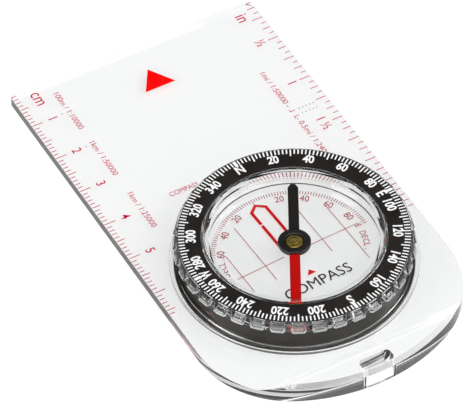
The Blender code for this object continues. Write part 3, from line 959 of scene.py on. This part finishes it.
@dataclass
class ClearPlate(SubAssembly):
    """The clear base plate: square front, raised and rounded rear lip, stepped bore, slot."""

    body = Body.PLATE
    heading = 0.0
    thickness: float = 2.0 * MM
    front_corner: float = 1.0 * MM
    rear_corner: float = 20.0 * MM
    rear_sweep: float = 36.0 * MM
    lip_length: float = 4.4 * MM
    lip_chamfer: float = 0.8 * MM
    ramp_foot: float = 8.6 * MM
    ramp_steps: int = 24
    recess_depth: float = 1.0 * MM
    recess_radius: float = 23.1 * MM
    bore_radius: float = 20.9 * MM
    slot_width: float = 6.6 * MM
    slot_depth: float = 2.6 * MM
    slot_corner: float = 0.9 * MM
    slot_web: float = 1.0 * MM
    ease: float = 0.14 * MM
    reach: float = 5.0 * MM

    def __post_init__(self) -> None:
        """Reads the plate's box from the frame."""
        self.low, self.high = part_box("base_plate")

    def outline(self) -> list[Point]:
        """The plate seen from above."""
        half = self.high.x
        end_y = self.low.y + self.rear_sweep
        corner_x = half - self.rear_corner
        drop = sqrt((self.rear_sweep - self.rear_corner) ** 2 - corner_x ** 2)
        corner_y = end_y - drop
        touch = degrees(atan2(-drop, corner_x))
        points = corner(half, self.high.y, self.front_corner, 0, 8)
        points += corner(-half, self.high.y, self.front_corner, 90, 8)
        points += arc((-corner_x, corner_y), self.rear_corner, -180, -180 - touch, 32)
        points += arc((0, end_y), self.rear_sweep, -180 - touch, touch, 40)[1:-1]
        return points + arc((corner_x, corner_y), self.rear_corner, touch, 0, 32)

    def over_ramp(self) -> BMesh:
        """What is taken off above the plate: level at the front, easing up to the lip."""
        foot = self.low.y + self.ramp_foot
        head = self.low.y + self.lip_length
        past_front = self.high.y + self.reach
        top = self.high.z + self.reach
        side: list[Point] = [(past_front, self.thickness)]
        for i in range(self.ramp_steps):
            share = i / self.ramp_steps
            eased = share * share * (3 - 2 * share)
            level = self.thickness + (self.high.z - self.thickness) * eased
            side.append((foot + (head - foot) * share, level))
        side += [(head, top), (past_front, top)]
        bm = extruded(side, -2 * self.high.x, 2 * self.high.x)
        bm.transform(Matrix(((0, 0, 1), (1, 0, 0), (0, 1, 0))).to_4x4())
        return bm

    def bore(self) -> BMesh:
        """The stepped hole that the dial turns in."""
        step = self.thickness - self.recess_depth
        top = self.high.z + self.reach
        bm = turned([
            (0.0, -self.reach), (self.bore_radius, -self.reach), (self.bore_radius, step),
            (self.recess_radius, step), (self.recess_radius, top), (0.0, top)], ROUND_SEGMENTS)
        bm.transform(self.place)
        return bm

    def slot(self) -> BMesh:
        """The lanyard slot through the lip."""
        half, low = self.slot_width / 2, self.low.y + self.slot_web
        outline = eased_ring(-half, half, low, low + self.slot_depth, self.slot_corner, 8)
        return extruded(outline, -self.reach, self.high.z + self.reach)

    def build(self) -> None:
        """Builds the plate and mounts it."""
        bm = extruded(self.outline(), 0.0, self.high.z)
        middle = self.high.z / 2
        rim = [edge for edge in bm.edges if all(vert.co.z > middle for vert in edge.verts)]
        bmesh.ops.bevel(bm, geom=rim, offset=self.lip_chamfer, segments=1, affect="EDGES")
        plate = to_object("clear_plate", bm, [self.palette.acrylic, self.palette.edge])
        carve(plate, [self.over_ramp(), self.bore(), self.slot()])
        ease_edges(plate, self.ease)
        # Side faces take the darker reddish tint, a painted reflection of the red ruler prints.
        for face in plate.data.polygons:
            if abs(face.center.x) > self.high.x - self.ease / 2:
                face.material_index = 1
        mount(plate, self.body, "base_plate")


@dataclass
class DialCollar(SubAssembly):
    """The clear collar, welded on the plate, that keeps the dial down."""

    body = Body.PLATE
    heading = 0.0
    wall: float = 1.5 * MM
    ease: float = 0.18 * MM

    def build(self) -> None:
        """Builds the collar and mounts it."""
        outer, _, top = span("retaining_ring")
        profile = eased_ring(outer - self.wall, outer, ClearPlate.thickness + WELD_GAP, top, self.ease)
        self.turn_up("dial_collar", profile, self.palette.acrylic, "retaining_ring", "clear_acrylic")


@dataclass(frozen=True)
class Label:
    """One printed word on the plate, by its middle."""

    text: str
    x: float
    y: float
    height: float
    weight: float = 0.0
    squeeze: float = LETTER_SQUEEZE


@dataclass
class PlatePrint:
    """Everything printed on the plate: two rulers, scale ratios, direction triangle."""

    palette: Palette
    ticks: NodeTree
    level: float = ClearPlate.thickness + PRINT_CLEAR
    edge: float = 26.9 * MM
    short_tick: float = 1.1 * MM
    middle_tick: float = 1.7 * MM
    long_tick: float = 2.3 * MM
    centimetre_zero: float = 49.32 * MM
    inch_zero: float = 50.06 * MM
    number_x: float = 22.3 * MM
    inch_x: float = 23.0 * MM
    ratio_x: float = 18.7 * MM
    mile_x: float = 19.2 * MM
    number_height: float = 2.0 * MM
    number_weight: float = 0.02 * MM
    unit_height: float = 2.75 * MM
    ratio_height: float = 1.25 * MM
    ratio_squeeze: float = 1.06
    word_height: float = 1.2 * MM
    word_spot: Point = (-9.3 * MM, 10.1 * MM)
    line: float = 0.17 * MM
    bracket_foot: float = 0.55 * MM
    bracket_arm: float = 1.0 * MM
    dot_radius: float = 0.14 * MM
    dot_pitch: float = 0.8 * MM
    triangle_apex: float = 42.0 * MM
    triangle_base: float = 36.6 * MM
    triangle_half: float = 3.3 * MM

    def labels(self) -> list[Label]:
        """The numbers, units and ratios, all reading towards the rear."""
        numbers = [(str(n), -self.number_x, self.centimetre_zero - n * 10 * MM) for n in range(1, 6)]
        numbers += [
            (text, self.inch_x, self.inch_zero - inches * INCH)
            for text, inches in (("½", 0.5), ("1", 1.0), ("1 ½", 1.5))]
        units = (("cm", -22.1, 45.5), ("in", 23.4, 45.3))
        ratios = (
            ("100m / 1:10000", -self.ratio_x, 39.6), ("1km / 1:50000", -self.ratio_x, 24.9),
            ("1km / 1:25000", -self.ratio_x, 9.3), ("1mi / 1:50000 -", self.mile_x, 24.6),
            ("- 0.5mi / 1:24000", self.mile_x, 9.6))
        rows = [Label(*spot, self.number_height, self.number_weight) for spot in numbers]
        rows += [Label(text, x * MM, y * MM, self.unit_height) for text, x, y in units]
        rows += [
            Label(text, x, y * MM, self.ratio_height, 0.0, self.ratio_squeeze) for text, x, y in ratios]
        return rows

    def ruler(
            self, name: str, side: float, zero: float, pitch: float, count: int, middle: int,
            long: int) -> None:
        """Builds one ruler's ticks.

        Args:
            name: the piece's name.
            side: -1 for the left edge, 1 for the right.
            zero: where the ruler starts.
            pitch: distance between ticks.
            count: how many ticks.
            middle: every how many ticks one is a little longer.
            long: every how many ticks one is longest.
        """
        mount(grow(name, self.ticks, {
            "Count": count, "First": 1, "Start": zero, "Pitch": -pitch, "Edge": side * self.edge,
            "Inwards": -side, "Short": self.short_tick, "Middle Every": middle,
            "Middle": self.middle_tick, "Long Every": long, "Long": self.long_tick,
            "Line": self.line, "Level": self.level, "Finish": self.palette.crimson_ink}), Body.PLATE)

    def lay(self, name: str, parts: Parts, ink: Material) -> None:
        """Prints shapes on the plate as one piece."""
        mount(put(to_object(name, joined(parts), [ink]), shift(z=self.level)), Body.PLATE)

    def build(self) -> None:
        """Prints the plate."""
        crimson = self.palette.crimson_ink
        self.ruler("centimetre_ticks", -1.0, self.centimetre_zero, MM, 66, 5, 10)
        self.ruler("inch_ticks", 1.0, self.inch_zero, INCH / 16, 41, 2, 4)
        words = [
            (lettering(row.text, row.height, row.weight, row.squeeze), shift(row.x, row.y) @ swing(90))
            for row in self.labels()]
        words.append((lettering(PLAIN_WORD, self.word_height), shift(*self.word_spot)))
        self.lay("ruler_lettering", words, crimson)
        half = self.triangle_half
        outline = [(-half, self.triangle_base), (half, self.triangle_base), (0.0, self.triangle_apex)]
        self.lay("travel_triangle", [(extruded(outline, 0.0, PRINT_DEPTH), Matrix())], self.palette.red_ink)
        self.lay("bracket_marks", self.bracket(), crimson)
        self.lay("scale_dots", self.dots(), self.palette.grey_ink)

    def bracket(self) -> Parts:
        """The two corner marks between the mile scales."""
        x = self.ratio_x
        return [
            (stroke([(x, y + foot), (x, y), (x + self.bracket_arm, y)], self.line), Matrix())
            for y, foot in ((17.9 * MM, self.bracket_foot), (16.4 * MM, -self.bracket_foot))]

    def dots(self) -> Parts:
        """The dotted leaders and the two register dots."""
        spots = [(-20.3 * MM, 39.5 * MM), (-20.3 * MM, 29.4 * MM)]
        for y in (17.9 * MM, 16.5 * MM):
            spots += [(20.6 * MM + i * self.dot_pitch, y) for i in range(5)]
        return [
            (extruded(arc((0, 0), self.dot_radius, 0, 330, 11), 0.0, PRINT_DEPTH), shift(*spot))
            for spot in spots]


# ---------------------------------------------------------------- the dial


@dataclass
class TurningDial(SubAssembly):
    """The dial's rings: black carrier, ribbed clear grip and black degree ring."""

    ribs: NodeTree
    bore_radius: float = 17.6 * MM
    wall_radius: float = 21.9 * MM
    flange_height: float = 0.7 * MM
    rib_count: int = 36
    rib_depth: float = 0.42 * MM
    rib_top: float = 0.54
    rib_flank: float = 0.18
    steps_per_rib: int = 30
    grip_draft: float = 17.0
    grip_chamfer: float = 0.15 * MM
    grip_smooth_below: float = 40.0
    seat_radius: float = 22.0 * MM
    seat_depth: float = 0.42 * MM
    ease: float = 0.08 * MM

    def carrier(self) -> None:
        """Builds the black carrier."""
        flange, low, high = span("dial_carrier")
        step = low + self.flange_height
        ease = 2 * self.ease
        profile = [
            (self.bore_radius, low), (flange - ease, low), (flange, low + ease),
            (flange, step - ease), (flange - ease, step), (self.wall_radius, step)]
        profile += corner(self.wall_radius, high, ease, 0) + corner(self.bore_radius, high, ease, 90)
        self.turn_up("carrier_ring", profile, self.palette.black, "dial_carrier", "black_moulding")

    def grip(self) -> None:
        """Builds the clear grip: a turned ring, then its ribs by rule."""
        tip, low, high = span("grip_ring")
        seat, shoulder = high - self.seat_depth, high - self.grip_chamfer
        neck = tip - (shoulder - low - self.ease) * tan(radians(self.grip_draft))
        crown = neck - self.grip_chamfer
        profile = [(self.bore_radius, low)] + corner(tip, low, self.ease, -90, 2)
        profile += [
            (neck, shoulder), (crown, high), (self.seat_radius, high), (self.seat_radius, seat),
            (self.bore_radius, seat)]
        ring = to_object(
            "ribbed_grip", turned(profile, self.rib_count * self.steps_per_rib), [self.palette.acrylic])
        grow("ribbed_grip", self.ribs, {
            "Ribs": self.rib_count, "Depth": self.rib_depth, "Skin": crown, "Tip": tip,
            "Top": self.rib_top, "Flank": self.rib_flank, "Finish": self.palette.acrylic}, ring)
        soften(ring, self.grip_smooth_below)
        mount(put(ring, self.place), self.body, "grip_ring", crisp=False)

    def degree_ring(self) -> None:
        """Builds the black ring that carries the degrees."""
        seat = span("grip_ring")[2] - self.seat_depth + WELD_GAP
        profile = eased_ring(self.bore_radius, self.wall_radius, seat, span("numeral_ring")[2], self.ease)
        self.turn_up("degree_ring", profile, self.palette.scale, "numeral_ring", "black_scale")

    def build(self) -> None:
        """Builds the three rings."""
        self.carrier()
        self.grip()
        self.degree_ring()


@dataclass
class DegreePrint(SubAssembly):
    """The white degree scale: ticks, numbers and the four cardinal points."""

    ticks: NodeTree
    outer_radius: float = 21.82 * MM
    short_tick: float = 1.15 * MM
    long_tick: float = 1.7 * MM
    line: float = 0.27 * MM
    number_radius: float = 19.5 * MM
    number_height: float = 1.9 * MM
    number_squeeze: float = 0.84
    cardinal_height: float = 2.1 * MM
    cardinal_squeeze: float = LETTER_SQUEEZE
    west_squeeze: float = 0.6
    weight: float = 0.07 * MM
    block_width: float = 0.62 * MM
    block_length: float = 1.35 * MM

    def build(self) -> None:
        """Prints the degree ring."""
        top, ink = span("numeral_ring")[2] + PRINT_CLEAR, self.palette.white_ink
        ticks = grow("degree_ticks", self.ticks, {
            "Count": 180, "Start": 0.0, "Pitch": radians(2), "Edge": self.outer_radius,
            "Short": self.short_tick, "Middle Every": 5, "Middle": self.long_tick, "Long Every": 5,
            "Long": self.long_tick, "Line": self.line, "Level": top, "Finish": ink})
        mount(put(ticks, self.place), self.body)
        half, outer, inner = self.block_width / 2, self.outer_radius, self.outer_radius - self.block_length
        parts = [
            self.word(str(heading), heading, self.number_height, self.number_squeeze)
            for heading in range(0, 360, 20) if heading not in (0, 180)]
        for letter, heading in (("N", 0), ("E", 90), ("S", 180), ("W", 270)):
            squeeze = self.west_squeeze if letter == "W" else self.cardinal_squeeze
            parts.append(self.word(letter, heading, self.cardinal_height, squeeze))
            block = extruded([(-half, inner), (half, inner), (half, outer), (-half, outer)], 0.0, PRINT_DEPTH)
            parts.append((block, swing(heading)))
        self.lay("degree_numerals", parts, ink, top)

    def word(self, text: str, heading: float, height: float, squeeze: float) -> tuple[BMesh, Matrix]:
        """One number or letter on the ring, its top outwards."""
        return lettering(text, height, self.weight, squeeze), swing(heading) @ shift(y=self.number_radius)


# ---------------------------------------------------------------- the capsule


@dataclass
class Capsule(SubAssembly):
    """The liquid capsule: cup, domed lens, filler plug and pivot pin."""

    wall: float = 1.2 * MM
    floor: float = 1.2 * MM
    boss_radius: float = 1.6 * MM
    boss_taper: float = 0.1 * MM
    boss_height: float = 1.4 * MM
    pin_hole: float = 0.37 * MM
    pin_hole_depth: float = 1.0 * MM
    pin_tip: float = 0.05 * MM
    pin_cone: float = 0.8 * MM
    pin_ease: float = 0.05 * MM
    pin_blunt: float = 0.03 * MM
    shoulder: float = 0.45 * MM
    edge: float = 0.7 * MM
    lens: float = 0.85 * MM
    foot_ease: float = 0.6 * MM
    wall_draft: float = 4.0
    dome_steps: int = 20
    wet_margin: float = 0.02 * MM
    plug_clearance: float = 0.02 * MM
    plug_inset: float = 0.01 * MM
    plug_ease: float = 0.12 * MM

    def __post_init__(self) -> None:
        """Reads the capsule's boxes from the frame."""
        self.radius, self.bottom, _ = span("capsule_cup")
        _, self.rim, self.top = span("capsule_lid")
        self.inner = self.radius - self.wall
        low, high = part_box("filler_plug")
        self.plug_radius = (high.z - low.z) / 2
        self.plug_half = (high.y - low.y) / 2 - self.plug_inset
        middle = shift(y=-(self.radius - self.wall / 2), z=(low.z + high.z) / 2)
        self.in_wall = middle @ Matrix.Rotation(radians(90), 4, "X")

    def cup(self) -> None:
        """Builds the cup with its boss and the filler hole in the rear wall."""
        wet_top, floor_top, ease = self.rim - WELD_GAP, self.bottom + self.floor, self.foot_ease
        boss_top = floor_top + self.boss_height
        narrow = self.radius - (wet_top - self.bottom) * tan(radians(self.wall_draft))
        hole_floor = boss_top - self.pin_hole_depth
        profile = [(0.0, self.bottom)] + corner(self.radius, self.bottom, ease, -90, 4)
        profile += [(narrow, wet_top), (self.inner, wet_top)]
        profile += reversed(corner(self.inner, floor_top, ease, -90, 4))
        profile += [
            (self.boss_radius, floor_top), (self.boss_radius - self.boss_taper, boss_top),
            (self.pin_hole, boss_top), (self.pin_hole, hole_floor), (0.0, hole_floor)]
        finishes = [self.palette.acrylic, self.palette.wetted]
        cup = to_object("capsule_shell", turned(profile, ROUND_SEGMENTS), finishes)
        hole, wide = bmesh.new(), self.plug_radius + self.plug_clearance
        bmesh.ops.create_cone(
            hole, cap_ends=True, segments=SMALL_SEGMENTS, radius1=wide, radius2=wide, depth=3 * self.wall)
        hole.transform(self.in_wall)
        carve(cup, [hole])
        soften(cup)
        for face in cup.data.polygons:
            x, y, z = face.center
            if hypot(x, y) < self.inner + self.wet_margin and z > self.bottom + self.floor / 2:
                face.material_index = 1
        mount(put(cup, self.place), self.body, "capsule_cup")

    def plug(self) -> None:
        """Builds the filler plug, flush inside the wall, with a turned-down face."""
        radius, half, ease = self.plug_radius, self.plug_half, self.plug_ease
        profile = [(0.0, -half)] + corner(radius, -half, ease, -90) + corner(radius, half, ease, 0)
        plug = to_object("fill_plug", turned(profile + [(0.0, half)], SMALL_SEGMENTS), [self.palette.acrylic])
        mount(put(plug, self.place @ self.in_wall), self.body, "filler_plug")

    def dome(self, radius: float, rim: float, rise: float) -> list[Point]:
        """Finds a shallow dome from its rim to its middle.

        Args:
            radius: radius of the rim.
            rim: height of the rim.
            rise: height of the middle above the rim.

        Returns:
            The (radius, z) points.
        """
        sphere = (radius ** 2 + rise ** 2) / (2 * rise)
        reaches = [radius * (1 - i / self.dome_steps) for i in range(self.dome_steps)]
        points = [(r, rim + rise - sphere + sqrt(sphere ** 2 - r ** 2)) for r in reaches]
        return points + [(0.0, rim + rise)]

    def lens_cover(self) -> None:
        """Builds the domed lens."""
        rim_z = self.rim + self.edge
        profile = [(self.radius, self.rim)] + corner(self.radius, rim_z, self.shoulder, 0, 6)
        profile += self.dome(self.radius - self.shoulder, rim_z, self.top - rim_z)[1:]
        profile += reversed(self.dome(self.inner, self.rim, self.top - self.lens - self.rim))
        finishes = [self.palette.acrylic, self.palette.wetted]
        lens = to_object("capsule_lens", turned(profile, ROUND_SEGMENTS), finishes)
        for face in lens.data.polygons:
            if face.normal.z < 0 and hypot(face.center.x, face.center.y) < self.inner:
                face.material_index = 1
        mount(put(lens, self.place), self.body, "capsule_lid")

    def pin(self) -> None:
        """Builds the pivot pin with its ground point."""
        radius, low, high = span("pivot_pin")
        profile = [
            (0.0, low), (radius - self.pin_ease, low), (radius, low + self.pin_ease),
            (radius, high - self.pin_cone), (self.pin_tip, high - self.pin_blunt),
            (self.pin_tip / 2, high), (0.0, high)]
        self.turn_up("pivot_point", profile, self.palette.steel, "pivot_pin", "hard_steel", SMALL_SEGMENTS)

    def build(self) -> None:
        """Builds the capsule's four pieces."""
        self.cup()
        self.plug()
        self.lens_cover()
        self.pin()


@dataclass
class FloorPrint(SubAssembly):
    """What is printed under the capsule's floor: arrow, grid and declination scale."""

    ticks: NodeTree
    arrow_half: float = 1.55 * MM
    arrow_tip: float = 13.75 * MM
    arrow_shoulder: float = 12.5 * MM
    arrow_foot: float = 2.6 * MM
    arrow_break: float = 8.9 * MM
    half_gap: float = 0.14 * MM
    arrow_line: float = 0.62 * MM
    south_half: float = 0.9 * MM
    south_base: float = -6.1 * MM
    south_tip: float = -4.9 * MM
    grid_line: float = 0.13 * MM
    scale_radius: float = 15.5 * MM
    short_tick: float = 0.85 * MM
    middle_tick: float = 1.0 * MM
    long_tick: float = 1.25 * MM
    number_radius: float = 13.65 * MM
    number_height: float = 1.55 * MM
    letter_height: float = 1.25 * MM
    letter_pitch: float = 4.2
    word_height: float = 2.4 * MM
    word_squeeze: float = 0.98
    word_y: float = -8.1 * MM

    def grid(self) -> Parts:
        """The north-south lines and the east-west line."""
        upright = ((-11.2, 6.0, -4.7), (-6.25, 11.0, -3.9), (6.1, 11.0, -3.4), (11.1, 7.0, -8.3))
        runs = [((x, top), (x, foot)) for x, top, foot in upright]
        runs += [((-12.3, 0.0), (-2.2, 0.0)), ((2.2, 0.0), (14.0, 0.0))]
        return [
            (stroke([(a * MM, b * MM), (c * MM, d * MM)], self.grid_line), Matrix())
            for (a, b), (c, d) in runs]

    def arrow(self) -> Parts:
        """The orienting arrow: an open outline with a small break in its left bar."""
        half = self.arrow_half
        left = [(-half, self.arrow_foot), (-half, self.arrow_break - self.half_gap)]
        rest = [
            (-half, self.arrow_break + self.half_gap), (-half, self.arrow_shoulder), (0.0, self.arrow_tip),
            (half, self.arrow_shoulder), (half, self.arrow_foot)]
        base = self.south_base
        south = [(-self.south_half, base), (self.south_half, base), (0.0, self.south_tip)]
        parts = [(stroke(path, self.arrow_line), Matrix()) for path in (left, rest)]
        return parts + [(extruded(south, 0.0, PRINT_DEPTH), Matrix())]

    def around(self, text: str, heading: float, height: float) -> tuple[BMesh, Matrix]:
        """One number or letter of the declination scale, its top outwards."""
        return lettering(text, height), swing(heading) @ shift(y=self.number_radius)

    def build(self) -> None:
        """Prints the capsule's floor."""
        crimson, top = self.palette.crimson_ink, span("capsule_cup")[1] - PRINT_CLEAR
        ticks = grow("declination_ticks", self.ticks, {
            "Count": 80, "First": -33, "Start": 0.0, "Pitch": radians(2), "Edge": self.scale_radius,
            "Short": self.short_tick, "Middle Every": 5, "Middle": self.middle_tick, "Long Every": 200,
            "Long": self.long_tick, "Line": self.grid_line, "Level": top - PRINT_DEPTH / 2,
            "Finish": crimson})
        mount(put(ticks, self.place), self.body)
        level = top - PRINT_DEPTH
        self.lay("floor_grid", self.grid(), crimson, level)
        self.lay("orienting_arrow", self.arrow(), self.palette.red_ink, level)
        marks = [
            self.around(str(abs(heading)), heading, self.number_height)
            for heading in (-60, -40, -20, 20, 40, 60, 80)]
        for text, middle in (("E DECL.", 105.0), ("W DECL.", -78.0)):
            first = middle - self.letter_pitch * (len(text) - 1) / 2
            marks += [
                self.around(letter, first + i * self.letter_pitch, self.letter_height)
                for i, letter in enumerate(text) if letter != " "]
        self.lay("declination_lettering", marks, crimson, level)
        word = lettering(PLAIN_WORD, self.word_height, 0.0, self.word_squeeze)
        self.lay("floor_word", [(word, shift(y=self.word_y))], self.palette.black_ink, level)


# ---------------------------------------------------------------- the needle


@dataclass
class Needle(SubAssembly):
    """The needle: two-colour blade, black hub in two parts, brass cap and jewel."""

    body = Body.NEEDLE
    heading = NEEDLE_HEADING
    half_length: float = 14.9 * MM
    width: float = 2.0 * MM
    point: float = 0.9 * MM
    blunt_share: float = 0.45
    eye_width: float = 1.0 * MM
    bore: float = 1.15 * MM
    boss: float = 1.6 * MM
    eye: float = 1.75 * MM
    disc: float = 0.4 * MM
    disc_ease: float = 0.19 * MM
    ring_ease_share: float = 1.8
    cap_bore: float = 0.6 * MM
    cap_crown: float = 0.8 * MM
    cap_step: float = 0.2 * MM
    cap_roof: float = 0.35 * MM
    stem_clearance: float = 0.15 * MM
    dish: tuple[Point, ...] = ((0.35 * MM, 0.02 * MM), (0.0, 0.08 * MM))
    dimple: float = 0.2 * MM
    dimple_steps: int = 4
    ease: float = 0.06 * MM

    def outline(self) -> list[Point]:
        """The blade seen from above, its blunt point towards +Y."""
        half, tip = self.width / 2, self.half_length
        blunt, eye = self.blunt_share * half, self.eye + self.eye_width
        joint = degrees(atan2(sqrt(eye ** 2 - half ** 2), half))
        right = [(half, -tip)] + arc((0, 0), eye, -joint, joint, 24)
        head = [(half, tip - self.point), (blunt, tip), (-blunt, tip), (-half, tip - self.point)]
        left = arc((0, 0), eye, 180 - joint, 180 + joint, 24) + [(-half, -tip)]
        return right + head + left

    def blade(self) -> None:
        """Builds the blade with the eye that the hub holds it by."""
        _, low, high = span("needle_blade")
        blade = to_object("needle_strip", extruded(self.outline(), low, high), [self.palette.paint])
        under, over = low - self.width, high + self.width
        eye = [(0.0, under), (self.eye, under), (self.eye, over), (0.0, over)]
        ease_edges(carve(blade, [turned(eye, NEEDLE_SEGMENTS)]), self.ease)
        mount(put(blade, self.place), self.body, "needle_blade")

    def hub(self) -> None:
        """Builds the hub's disc with its boss, and the collar above the blade."""
        radius, low, high = span("hub_base")
        ease, disc_top, gloss = self.disc_ease, low + self.disc, self.palette.gloss
        profile = [(self.bore, low)] + corner(radius, low, ease, -90) + corner(radius, disc_top, ease, 0)
        profile += [
            (self.boss, disc_top), (self.boss, high - self.ease), (self.boss - self.ease, high),
            (self.bore, high)]
        self.turn_up("hub_disc", profile, gloss, "hub_base", "black_moulding", NEEDLE_SEGMENTS)
        radius, low, high = span("hub_collar")
        profile = eased_ring(self.eye, radius, low, high, self.ring_ease_share * ease)
        self.turn_up("hub_ring", profile, gloss, "hub_collar", "black_moulding", NEEDLE_SEGMENTS)

    def cap(self) -> None:
        """Builds the stepped brass cap."""
        flange, low, high = span("bearing_cap")
        crown_z = high - self.cap_step
        flange_z = crown_z - self.cap_step
        stem, roof = self.bore - self.stem_clearance, high - self.cap_roof
        profile = [(self.cap_bore, low), (stem, low), (stem, flange_z), (flange, flange_z)]
        profile += corner(flange, crown_z, self.ease, 0) + [(self.cap_crown + self.ease, crown_z)]
        profile += corner(self.cap_crown, high, self.ease, 0)
        profile += [(r, high - drop) for r, drop in self.dish] + [(0.0, roof), (self.cap_bore, roof)]
        self.turn_up("brass_cap", profile, self.palette.brass, "bearing_cap", "brass", NEEDLE_SEGMENTS)

    def jewel(self) -> None:
        """Builds the jewel with the dimple that rests on the pin."""
        radius, low, high = span("jewel_bearing")
        ease, shares = self.ease, [i / self.dimple_steps for i in range(self.dimple_steps + 1)]
        profile = [(radius / 2 * share, low + self.dimple * (1 - share ** 2)) for share in shares]
        profile += [
            (radius - ease, low), (radius, low + ease), (radius, high - ease), (radius - ease, high),
            (0.0, high)]
        self.turn_up("cup_jewel", profile, self.palette.jewel, "jewel_bearing", "jewel", SMALL_SEGMENTS)

    def build(self) -> None:
        """Builds the needle's five pieces."""
        self.blade()
        self.hub()
        self.cap()
        self.jewel()


# ---------------------------------------------------------------- the studio


@dataclass
class Studio:
    """A pale tabletop, soft light and the camera."""

    palette: Palette
    aim: Vector = field(default_factory=lambda: Vector((-2.96, 2.27, 2.0)) * MM)
    azimuth: float = -28.41
    elevation: float = 47.0
    distance: float = 777.2 * MM
    roll: float = -0.95
    lens: float = 315.1
    table_half: float = 4.0
    table_level: float = -0.05 * MM
    behind_camera: float = 0.85
    beyond_table: float = 0.10
    horizon: float = 0.95
    pale_until: float = -0.7
    dark_from: float = 0.3
    horizon_low: float = 0.25
    horizon_high: float = 0.5
    lamp_distance: float = 1.2

    def camera(self) -> None:
        """Makes the camera."""
        across, up = radians(self.azimuth), radians(self.elevation)
        back = Vector((sin(across) * cos(up), -cos(across) * cos(up), sin(up)))
        level = Vector((0.0, 0.0, 1.0)).cross(back).normalized()
        steep = back.cross(level)
        turn = radians(self.roll)
        right = level * cos(turn) + steep * sin(turn)
        data = bpy.data.cameras.new("camera")
        data.sensor_width = 36.0
        data.lens = self.lens
        data.clip_start, data.clip_end = 0.01, 20.0
        camera = bpy.data.objects.new("camera", data)
        axes = Matrix((right, back.cross(right), back)).transposed().to_4x4()
        camera.matrix_world = Matrix.Translation(self.aim + back * self.distance) @ axes
        bpy.context.collection.objects.link(camera)
        bpy.context.scene.camera = camera

    def table(self) -> None:
        """Makes the tabletop."""
        bm = bmesh.new()
        bmesh.ops.create_grid(bm, x_segments=1, y_segments=1, size=self.table_half)
        put(to_object("tabletop", bm, [self.palette.table]), shift(z=self.table_level))

    def softbox(self, name: str, azimuth: float, elevation: float, level: float, size: float) -> None:
        """Hangs one soft light that faces the compass.

        Args:
            name: its name.
            azimuth: where it hangs, in degrees clockwise from +Y.
            elevation: its height above the table, in degrees.
            level: how brightly it lights a white surface that faces it, 1 for full white.
            size: width in metres.
        """
        lamp = bpy.data.lights.new(name, "AREA")
        lamp.shape = "DISK"
        lamp.size = size
        lamp.energy = level * pi ** 2 * self.lamp_distance ** 2
        across, up = radians(azimuth), radians(elevation)
        way = Vector((sin(across) * cos(up), cos(across) * cos(up), sin(up)))
        thing = bpy.data.objects.new(name, lamp)
        aimed = way.to_track_quat("Z", "Y").to_matrix().to_4x4()
        thing.matrix_world = Matrix.Translation(way * self.lamp_distance) @ aimed
        bpy.context.collection.objects.link(thing)

    def surroundings(self) -> None:
        """Makes the surroundings: a pale wall on the near side that darkens to the far side."""
        world = bpy.data.worlds.new("studio")
        world.use_nodes = True
        bench = Bench(world.node_tree)
        way = bench.add("ShaderNodeTexCoord").outputs["Generated"]
        far = (-sin(radians(self.azimuth)), cos(radians(self.azimuth)), 0.0)
        along = bench.add("ShaderNodeVectorMath", {0: way, 1: far}, operation="DOT_PRODUCT")
        above = bench.remap(
            along.outputs["Value"], self.pale_until, self.dark_from, self.behind_camera, self.beyond_table)
        height = bench.add("ShaderNodeSeparateXYZ", {0: way}).outputs["Z"]
        low = bench.remap(height, self.horizon_low, self.horizon_high, self.horizon, 0.0)
        bench.fit(world.node_tree.nodes["Background"], {
            "Color": (1.0, 1.0, 1.0), "Strength": bench.calc("MAXIMUM", above, low)})
        bpy.context.scene.world = world

    def build(self) -> None:
        """Makes camera, table, lights and surroundings."""
        self.camera()
        self.table()
        self.softbox("overhead_light", 180.0 + self.azimuth, 74.0, 0.54, 1.3)
        self.softbox("left_light", -85.0, 42.0, 0.2, 0.6)
        self.softbox("right_light", 110.0, 42.0, 0.2, 0.6)
        self.surroundings()
        scene = bpy.context.scene
        scene.view_settings.view_transform = "Standard"
        scene.cycles.max_bounces = 32
        scene.cycles.transmission_bounces = 28
        scene.cycles.transparent_max_bounces = 32
        scene.cycles.caustics_refractive = False
        scene.cycles.caustics_reflective = False


def main() -> None:
    """Loads the frame, finds the axis from the numeral ring's box, and builds every sub-assembly and the
    studio.
    """
    logging.basicConfig(level=logging.INFO, format="%(name)s: %(message)s")
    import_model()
    low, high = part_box("numeral_ring")
    axis = (low + high) / 2
    axis.z = 0.0
    palette = Palette(axis)
    straight, round_ticks = tick_tree(Layout.STRAIGHT), tick_tree(Layout.ROUND)
    ClearPlate(palette, axis).build()
    DialCollar(palette, axis).build()
    PlatePrint(palette, straight).build()
    TurningDial(palette, axis, rib_tree()).build()
    DegreePrint(palette, axis, round_ticks).build()
    Capsule(palette, axis).build()
    FloorPrint(palette, axis, round_ticks).build()
    Needle(palette, axis).build()
    Studio(palette).build()


if __name__ == "__main__":
    main()
